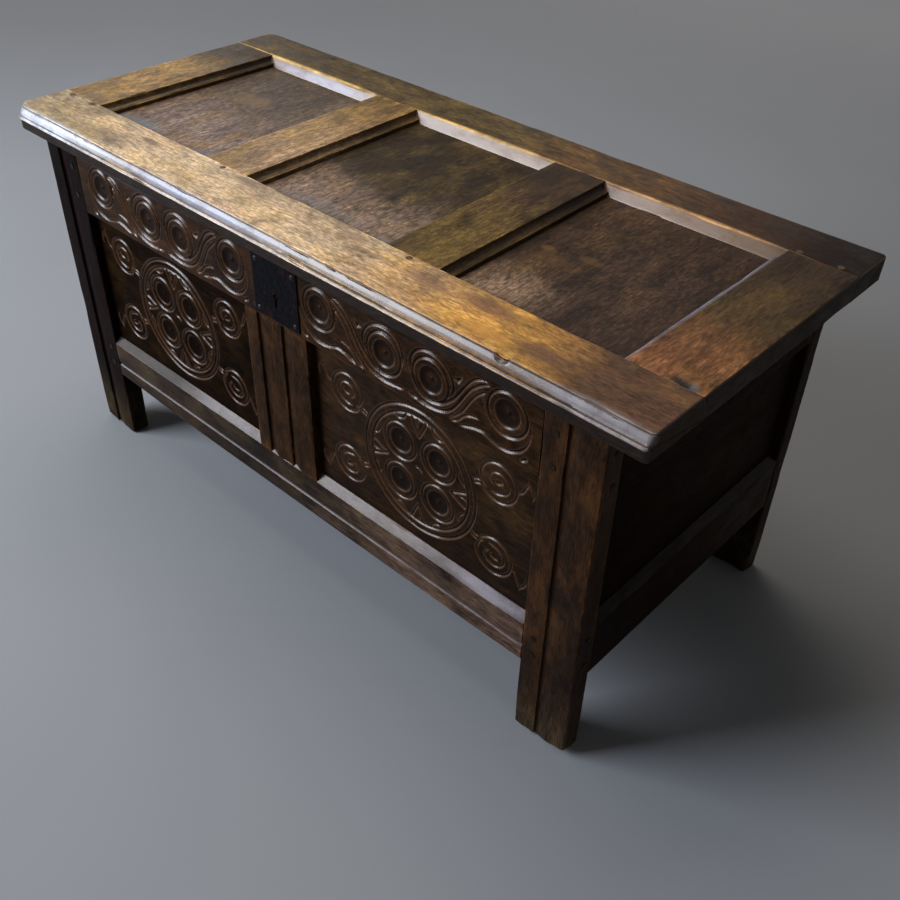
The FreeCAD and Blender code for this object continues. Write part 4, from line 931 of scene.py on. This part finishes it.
def end_dust_and_painted_shade(grid):
    """Right end of the lid, which faces away from the window: dull and unwaxed, and darkened as
    painted shade.
    """
    return 0.9 * smooth_step(grid[..., 0], END_FACE - 2.5, END_FACE)


def quirk_wax_and_painted_shade(grid):
    """Old wax and painted shade in the two sunk lines of the front moulding, painted shade on the
    face under its bead, and painted shade on the lid's right end.
    """
    depth, z = grid[..., 1], grid[..., 2]
    upper = smooth_step(np.abs(z - UPPER_QUIRK), 0.9, 0.3) * smooth_step(depth, -5.6, -6.4)
    lower = smooth_step(np.abs(z - LOWER_QUIRK), 1.3, 0.7) * (depth > -15.6)
    under = smooth_step(z, BEAD_FOOT + 1, BEAD_FOOT)
    return np.maximum(np.maximum.reduce([upper, lower, under]) * (depth < 0), end_dust_and_painted_shade(grid))


def far_dust_and_painted_shade(grid):
    """Dust and painted shade on the back rail toward its right end."""
    return 0.85 * smooth_step(grid[..., 0], 430, 570)


def on_top(x, y, reach_x, reach_y, tone, share):
    """Patch of colour on the lid's top face; most are stains, and a few, as marked, are painted
    light.
    """
    return (x, y, 0.585), (reach_x, reach_y, 0.012), tone, share


def on_panel(x, y, reach_x, reach_y, tone, share):
    """Patch of colour on a lid panel's face; the bluish ones are painted sheen, the others stains.
    """
    return (x, y, 0.569), (reach_x, reach_y, 0.009), tone, share


def painted_nose_reflection(x, reach_x, reach_z, tone, share):
    """Painted reflection on the lid's front moulding."""
    return (x, -0.264, 0.578), (reach_x, 0.02, reach_z), tone, share


def back_arris_wear_and_painted_highlight(x, reach_x, tone, share):
    """Golden tone along the top of the bevel behind the panels: partly wear, partly painted
    highlight.
    """
    return (x, 0.1765, 0.5845), (reach_x, 0.0065, 0.005), tone, share


def lid_rail(label, seed, corners, close, rounds, wood, **shape):
    """Long rail of the lid. rounds are the settings of round_plan at its left and right end."""
    left, right = (round_plan(*settings) for settings in rounds)
    timber(label, "moulded", "lid_oak", "x", seed, corners,
           stations(-LID_END, LID_END, 7.0, close), dict(wood, grime_and_painted_shade_tone=LID_GRIME_AND_PAINTED_SHADE, speck=0.6, rub=0.8),
           "lid", step=7.0, wear=1.2, bend=lambda grid: right(left(grid)), **shape)


lid_rail(
    "lid_front_rail", 81,
    [(-16, LID_FOOT, 1.2), (FRONT_SHOULDER, LID_FOOT, 1.0, 14), (FRONT_SHOULDER, PANEL_TOP, 0.6),
     (FRONT_ARRIS, LID_TOP, 1.4, 4), (-6.6, LID_TOP, 0.6), (-7.2, 583.3, 0.2),
     (-9.0, 583.2, 0.4), (-12.2, 578.0, 10.0, 2), (-14.6, 572.9, 0.3, 2), (-14.2, 571.5, 0.2),
     (-16.2, 571.3, 0.7), (LID_FRONT, 569.2, 0.8), (-17.8, 567.6, 0.6), (-15.6, 567.2, 0.3)],
    [(-LID_END, 34, 2.0), (LID_END, 14, 2.0), (405, 16, 1.6), (575, 16, 2.0), (-430, 12, 2.0)],
    ((-1, LID_FRONT, -1, 26.0, 80.0), (1, LID_FRONT, -1, 7.0, 60.0)),
    dict(dark=(620, 395, 215), light=(950, 700, 440), patina=(760, 500, 230),
         gold=(1.5, 1.45, 1.2), deep=(110, 55, 30), gloss=(0.32, 0.54), figure=0.7, contrast=0.8,
         bevel_tone=(30, 26, 42), bevel_share=0.9,
         # Painted shade: the rail is darker at its left end, where the window lamp is nearest, and
         # near black on the face under the bead. Toward the right end it is darker again, partly
         # its own tone and partly painted shade; the orange before that is the wood's tone.
         fades=[("X", -0.34, -0.52, (240, 150, 75), (560, 420, 240), (500, 350, 160)),
                ("X", 0.06, 0.36, (560, 235, 48), (950, 490, 115), (880, 450, 90)),
                ("X", 0.36, 0.52, (62, 24, 13), (165, 75, 38), (180, 90, 30)),
                ("Z", 0.5687, 0.5680, (3, 1.5, 2), (12, 6, 7), (14, 7, 7)),
                LID_UNDERSIDE, LID_END_GRAIN_AND_PAINTED_SHADE],
         # The three patches on the moulding are painted reflections, and the blue-grey spot at the
         # right corner's dent is a painted highlight; the other patches on the top are the wood's
         # own stains.
         stains=[painted_nose_reflection(-0.50, 0.22, 0.014, (600, 620, 680), 0.95),
                 painted_nose_reflection(-0.13, 0.24, 0.011, (150, 190, 310), 0.7),
                 painted_nose_reflection(0.54, 0.12, 0.014, (300, 270, 270), 0.8),
                 on_top(0.33, -0.192, 0.060, 0.018, (130, 55, 45), 0.8),
                 on_top(0.43, -0.225, 0.050, 0.020, (90, 38, 34), 0.8),
                 on_top(0.36, -0.235, 0.045, 0.016, (620, 270, 60), 0.7),
                 on_top(0.24, -0.200, 0.050, 0.016, (260, 120, 75), 0.7),
                 on_top(0.10, -0.185, 0.035, 0.012, (240, 130, 80), 0.7),
                 on_top(-0.12, -0.180, 0.040, 0.010, (200, 120, 70), 0.8),
                 on_top(-0.33, -0.195, 0.030, 0.008, (110, 60, 45), 0.8),
                 on_top(0.576, -0.162, 0.010, 0.006, (75, 90, 100), 0.8),
                 on_top(-0.572, -0.174, 0.012, 0.008, (40, 22, 10), 0.9),
                 on_top(-0.516, -0.175, 0.012, 0.008, (40, 22, 10), 0.9)]),
    end_round=1.6, hollow=quirk_wax_and_painted_shade,
    dents=[(405, -8, 584, (11, 8, 8), 4.5), (576, 88, 586, (13, 8, 6), 3.0),
           (-430, -9, 584, (7, 5, 5), 1.4), (130, -9, 584, (9, 5, 5), 1.2)])
lid_rail(
    "lid_back_rail", 83,
    [(BACK_SHOULDER, LID_FOOT, 1.0), (LID_BACK, LID_FOOT, 1.6, 14), (LID_BACK, LID_TOP, 3.0, 9),
     (BACK_ARRIS, LID_TOP, 3.0, 8), (BACK_SHOULDER, PANEL_TOP, 0.6, 3)],
    [(-LID_END, 30, 2.0), (LID_END, 14, 2.0)],
    ((-1, LID_BACK, 1, 20.0, 70.0), (1, LID_BACK, 1, 8.0, 60.0)),
    dict(dark=(66, 38, 13), light=(170, 108, 40), patina=(155, 100, 32), shine=0.20,
         # the golden bevel_tone on the bevel is partly rubbed wood, partly painted highlight
         bevel_tone=(250, 135, 70),
         # darker toward the right end and near black at it: partly the wood's tone, partly painted
         # shade away from the window
         fades=[("X", 0.05, 0.20, (70, 30, 11), (200, 100, 38), (190, 95, 30)),
                ("X", 0.28, 0.42, (28, 10, 5), (86, 36, 20), (80, 34, 14)),
                ("X", 0.44, 0.58, (4, 2, 1), (14, 6, 4), (16, 7, 4)),
                LID_UNDERSIDE, LID_END_GRAIN_AND_PAINTED_SHADE],
         # the golden patches along the bevel's top are partly wear, partly painted highlight; the
         # bluish one on the bevel behind the left panel is a painted reflection
         stains=[back_arris_wear_and_painted_highlight(-0.40, 0.22, (580, 370, 120), 0.8),
                 back_arris_wear_and_painted_highlight(0.0, 0.19, (560, 340, 110), 0.8),
                 back_arris_wear_and_painted_highlight(0.37, 0.18, (420, 220, 80), 0.7),
                 ((-0.37, 0.169, 0.575), (0.17, 0.009, 0.009), (300, 310, 420), 0.7),
                 on_top(-0.415, 0.240, 0.014, 0.008, (10, 8, 8), 0.9),
                 on_top(0.378, 0.242, 0.016, 0.007, (10, 8, 8), 0.9)]),
    end_round=1.8, hollow=far_dust_and_painted_shade)


def scribed(lean):
    """Cross member between the lid's long rails. s runs from 0 at the front rail to 1."""
    def place(u, v, s):
        rise = np.clip((LID_TOP - v) / (LID_TOP - PANEL_TOP), 0, 1)
        front = FRONT_ARRIS + (FRONT_SHOULDER - FRONT_ARRIS) * rise
        back = BACK_ARRIS + (BACK_SHOULDER - BACK_ARRIS) * rise
        return u + lean * s, front + (back - front) * s, v
    return place


def mould(edge, sign):
    """Corners of the hollow and fillet along a panel, from the top arris to the underside."""
    run, low = MOULD - FILLET, LID_TOP - MOULD_STEP
    hollow = [(edge + sign * run * (1 - math.cos(a)), LID_TOP - MOULD_STEP * math.sin(a), 0.3)
              for a in map(math.radians, (20, 38, 56, 74))]
    return [(edge, LID_TOP, 1.0), *hollow, (edge + sign * run, low, 0.4),
            (edge + sign * MOULD, low, 0.7), (edge + sign * MOULD, LID_FOOT, 0.8)]


def mould_wax_and_painted_shade(share):
    """Old wax and painted shade in the hollow and against the panel; the arrises stay rubbed."""
    def field(grid):
        z = grid[..., 2]
        fillet = 1 - 0.22 * smooth_step(z, 573.6, 574.6) * smooth_step(z, 576.6, 575.4)
        return share * smooth_step(z, 584.9, 583.6) * smooth_step(z, 555.0, 560.0) * fillet
    return field


def end_grime_and_painted_shade(share):
    """Old wax and painted shade in an end rail's moulding, and painted shade on the lid's right
    end.
    """
    inner = mould_wax_and_painted_shade(share)

    def field(grid):
        near = smooth_step(np.abs(grid[..., 0]), 520, 504)
        return np.maximum(inner(grid) * near, end_dust_and_painted_shade(grid))
    return field


CROSS_STATIONS = np.concatenate([np.linspace(0, 0.06, 9), np.linspace(0.085, 1, 38)])


def cross_member(label, seed, corners, lean, dark, light, patina, fades, shape, **wood):
    """End rail or muntin of the lid. Its underside is bare."""
    timber(label, "moulded", "lid_oak", "y", seed, corners, CROSS_STATIONS,
           dict(dark=dark, light=light, patina=patina, fades=fades + [LID_UNDERSIDE],
                grime_and_painted_shade_tone=LID_GRIME_AND_PAINTED_SHADE, rub=0.84, **{"speck": 0.7, **wood}),
           "lid", place=scribed(lean), end_round=0.0, **shape)


def end_rail(side, sign, grime_and_painted_shade_share, *wood, dents=(), **looks):
    """End rail of the lid, with the moulding on its inner edge."""
    corners = mould(END_RAIL_EDGE * sign, -sign)
    corners += [(LID_END * sign, LID_FOOT, 1.8), (LID_END * sign, LID_TOP, 3.0)]
    cross_member(f"lid_{side}_end_rail", 90 + sign, corners, 0.0, *wood,
                 dict(step=7.0, wear=1.2, hollow=end_grime_and_painted_shade(grime_and_painted_shade_share), dents=dents), **looks)


def lid_muntin(side, sign, *wood):
    """Muntin of the lid, moulded on both edges. Its back leans to the left."""
    middle = LID_MUNTIN * sign
    corners = mould(middle + LID_MUNTIN_HALF, 1) + mould(middle - LID_MUNTIN_HALF, -1)[::-1]
    cross_member(f"lid_{side}_muntin", 93 + sign, corners, -8.0, *wood,
                 dict(step=6.0, wear=1.1, hollow=mould_wax_and_painted_shade(0.97)))


# The lid's end rails and muntins are painted darker toward the back and the right end: partly
# their own tone, partly painted shade away from the window. The left end rail's moulding, which
# faces away from the window, is given far more painted shade than the right one's.
end_rail("left", -1, 0.97, (240, 120, 36), (540, 330, 122), (400, 240, 75),
         [("Y", 0.02, 0.12, (32, 17, 7), (90, 54, 22), (110, 70, 26))])
lid_muntin("left", -1, (340, 190, 88), (700, 450, 240), (480, 300, 110),
           [("Y", -0.05, 0.14, (150, 75, 20), (380, 215, 66), (330, 195, 50))])
end_rail("right", 1, 0.15, (200, 74, 26), (450, 190, 78), (200, 100, 28),
         [("Y", -0.14, 0.0, (42, 22, 7), (120, 70, 24), (110, 68, 18)),
          ("Y", 0.04, 0.16, (12, 6, 3), (42, 20, 8), (50, 28, 8)), LID_END_GRAIN_AND_PAINTED_SHADE],
         dents=[(574, 87, 586, (15, 9, 6), 3.2)], speck=0.6,
         # the dark teal patch in the corner's dent is painted shade, the small pale blue one at
         # its edge a painted highlight, and the bluish stripe along the moulding's fillet a
         # painted reflection
         stains=[on_top(0.570, -0.164, 0.024, 0.010, (10, 20, 24), 0.98),
                 on_top(0.582, -0.163, 0.008, 0.008, (85, 115, 125), 0.8),
                 ((0.493, 0.0, 0.575), (0.009, 0.26, 0.006), (160, 160, 200), 0.8)])
lid_muntin("right", 1, (85, 45, 10), (240, 140, 36), (200, 125, 26),
           [("Y", -0.06, 0.10, (30, 14, 6), (110, 56, 24), (105, 58, 20))])


def lid_panel(side, seed, low, high, dark, light, patina, fades, stains):
    """Panel of the lid between two edges. Its underside is bare."""
    board(f"lid_{side}_panel", (low + 3, FRONT_SHOULDER, PANEL_FOOT),
          (high - 3, BACK_SHOULDER, PANEL_TOP), "y", seed,
          dict(dark=dark, light=light, patina=patina, stains=stains, tint=LID_TINT,
               fades=fades + [("Z", 0.5612, 0.5598, *UNDER)], gloss=(0.38, 0.58), figure=0.75,
               speck=0.9, contrast=0.8),
          "lid_panel_oak", body="lid", lip=(0, LIP, 0), round_by=0.5, step=9.0,
          hollow=edge_grime_and_painted_shade("xy", (low + MOULD, FRONT_SHOULDER), (high - MOULD, BACK_SHOULDER),
                            0.75, 6.0))


INNER_EDGE, OUTER_EDGE = LID_MUNTIN - LID_MUNTIN_HALF, LID_MUNTIN + LID_MUNTIN_HALF
# Each lid panel is painted lighter toward the front rail, and cooler there on the left panel:
# partly the wood's tone, partly painted sheen. The bluish patches are painted sheen; the orange
# ones are stains.
lid_panel("left", 96, -END_RAIL_EDGE, -OUTER_EDGE, (180, 115, 84), (450, 310, 240),
          (300, 170, 70), [("Y", -0.16, 0.1, (64, 40, 24), (170, 118, 80), (130, 90, 40))],
          [on_panel(-0.39, 0.04, 0.05, 0.03, (200, 120, 50), 0.6),
           on_panel(-0.44, -0.15, 0.09, 0.03, (200, 220, 240), 0.7),
           on_panel(-0.27, -0.15, 0.04, 0.02, (200, 220, 250), 0.7)])
lid_panel("centre", 97, -INNER_EDGE, INNER_EDGE, (15, 8, 2), (52, 28, 9), (110, 70, 18),
          [("Y", 0.01, -0.15, (240, 150, 100), (500, 335, 230), (440, 280, 150))],
          [on_panel(-0.02, -0.14, 0.12, 0.022, (160, 170, 190), 0.5),
           on_panel(0.12, -0.15, 0.04, 0.016, (220, 240, 270), 0.6)])
lid_panel("right", 98, OUTER_EDGE, END_RAIL_EDGE, (30, 14, 7), (92, 48, 26), (120, 62, 20),
          [("Y", -0.05, -0.14, (222, 132, 80), (520, 325, 200), (410, 250, 115)),
           ("X", 0.29, 0.39, (24, 11, 7), (80, 42, 26), (85, 46, 22))],
          [on_panel(0.29, -0.03, 0.045, 0.018, (170, 80, 30), 0.3),
           on_panel(0.33, 0.0, 0.022, 0.012, (210, 100, 30), 0.5),
           on_panel(0.27, -0.01, 0.015, 0.010, (210, 110, 30), 0.5)])

# ---------------- pieces that keep their CAD shape

PEG_OAK = oak("peg_wood", "y", 7, (10, 4.2, 2), (34, 15, 7), shine=0.15, tint=DARK_TINT)
LID_PEG_OAK = oak("lid_peg_wood", "z", 8, (50, 28, 13), (140, 86, 40), contrast=0.3)
PLATE_IRON = iron("lock_iron", 3.1, 0.15, (0.0012, 0.0012, 0.0022), metal=0.1, shine=0.05)
STRAP_IRON = iron("strap_iron", 5.3, 0.55)
NAIL_IRON = iron("nail_iron", 7.7, 0.5, (0.012, 0.011, 0.012), shine=0.3)
BOLT_IRON = iron("bolt_iron", 9.4, 0.25, (0.055, 0.053, 0.050))
KEPT = (      # material, width of the worn edges in millimetres, and the nodes
    (PEG_OAK, 0.4, "front_pegs", "back_pegs", "left_end_pegs", "right_end_pegs"),
    (LID_PEG_OAK, 0, "lid_pegs"), (PLATE_IRON, 0.4, "lock_plate"), (PLATE_IRON, 0.5, "lock_case"),
    (NAIL_IRON, 0.3, "lock_plate_nails", "lock_case_nails", "hinge_back_nails",
     "hinge_lid_nails", "lid_staple_nails"),
    (BOLT_IRON, 0.4, "lid_staple", "lock_bolt"),
    (STRAP_IRON, 0.5, "left_hinge_back_strap", "right_hinge_back_strap",
     "left_hinge_lid_strap", "right_hinge_lid_strap"),
    (STRAP_IRON, 0.3, "left_hinge_pin", "right_hinge_pin"))
for material, width, *labels in KEPT:
    for label in labels:
        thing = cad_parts[label]
        thing.data.materials.clear()
        thing.data.materials.append(material)
        if width:
            bevel = thing.modifiers.new("worn_edges", "BEVEL")
            bevel.width, bevel.segments = width * 0.001, 2
            bevel.limit_method, bevel.angle_limit = "ANGLE", math.radians(35)

# ---------------- floor, light and camera

BACKDROP_TONE = (0.200, 0.200, 0.205)
FLOOR_TONES, FLOOR_FADE = ((0.300, 0.300, 0.305), (0.290, 0.290, 0.296)), (1.3, 4.2)
SKY_TONE, SKY_LEVEL = (0.95, 0.98, 1.0), 0.08


def seen_directly(nodes):
    """1 for the camera and for what glossy or clear surfaces show, 0 for light on the object."""
    camera, glossy, clear = (nodes.add("ShaderNodeLightPath", output=f"Is {kind} Ray")
                             for kind in ("Camera", "Glossy", "Transmission"))
    return camera.most(glossy).most(clear)


def floor_paint():
    """Plain pale paint that passes into the backdrop's tone away from the object."""
    material, nodes, place = new_material("studio_floor_paint")
    cloud = nodes.noise(place, 2.0, 1.0, 2.0)
    nodes.shade({"Base Color": nodes.mix(cloud.remap(0.3, 0.7), *FLOOR_TONES), "Roughness": 0.9,
                 "Specular IOR Level": 0.1})
    away = nodes.add("ShaderNodeVectorMath", place, operation="LENGTH", output="Value")
    blend = nodes.add("ShaderNodeMixShader", away.remap(*FLOOR_FADE) * seen_directly(nodes),
                      Wire(nodes, nodes.tree.nodes["Principled BSDF"].outputs[0]),
                      nodes.add("ShaderNodeEmission", Color=BACKDROP_TONE))
    nodes.feed(nodes.tree.nodes["Material Output"].inputs["Surface"], blend)
    return material


bpy.ops.mesh.primitive_plane_add(size=60, location=(0, 0, 0))
floor = bpy.context.object
floor.name = "studio_floor"
floor.data.materials.append(floor_paint())

LAMPS = (     # name, place, what it is aimed at, size, power and colour
    ("window", (-2.5, -2.7, 2.05), (0, 0, 0.45), (2.3, 2.0), 215, (0.78, 0.87, 1.0)),
    ("far_window", (-3.2, 1.6, 1.7), (0, 0, 0.5), (1.6, 1.4), 6, (0.80, 0.88, 1.0)),
    ("overhead", (-0.9, 0.3, 3.2), (0, 0, 0.5), (2.2, 1.8), 44, (1.0, 0.94, 0.86)),
    ("back_fill", (-1.0, 3.4, 0.7), (0, 0, 0.35), (2.2, 1.0), 6, (1.0, 0.96, 0.92)),
    ("end_fill", (3.2, -0.6, 1.2), (0, 0, 0.35), (2.0, 1.4), 1.2, (1.0, 0.95, 0.90)))
for name, place, target, size, power, colour in LAMPS:
    data = bpy.data.lights.new(name, "AREA")
    data.shape, data.energy, data.color = "RECTANGLE", power, colour
    data.size, data.size_y = size
    lamp = bpy.data.objects.new(name, data)
    bpy.context.scene.collection.objects.link(lamp)
    lamp.location = place
    lamp.rotation_euler = (Vector(target) - Vector(place)).to_track_quat("-Z", "Y").to_euler()

world = bpy.data.worlds.new("studio")
bpy.context.scene.world = world
world.use_nodes = True
sky, seen = Nodes(world.node_tree), seen_directly(Nodes(world.node_tree))
background = world.node_tree.nodes["Background"].inputs
sky.feed(background["Color"], sky.mix(seen, SKY_TONE, BACKDROP_TONE))
sky.feed(background["Strength"], seen.remap(0.0, 1.0, SKY_LEVEL, 1.0))

# the camera that was fitted to the photograph: its axes and its place
CAMERA_RIGHT = Vector((0.73129, 0.68171, 0.02195))
CAMERA_DOWN = Vector((0.44155, -0.44865, -0.77702))
CAMERA_AHEAD = Vector((-0.51986, 0.57791, -0.62910))
CAMERA_PLACE = (0.97745, -0.97389, 1.19566)
camera_data = bpy.data.cameras.new("photo_camera")
camera_data.lens, camera_data.sensor_width, camera_data.clip_end = 41.35, 36.0, 100
camera = bpy.data.objects.new("photo_camera", camera_data)
bpy.context.scene.collection.objects.link(camera)
turn = Matrix((CAMERA_RIGHT, -CAMERA_DOWN, -CAMERA_AHEAD)).transposed().to_4x4()
camera.matrix_world = Matrix.Translation(CAMERA_PLACE) @ turn
bpy.context.scene.camera = camera
bpy.context.scene.view_settings.view_transform = "Standard"

bpy.context.view_layer.update()
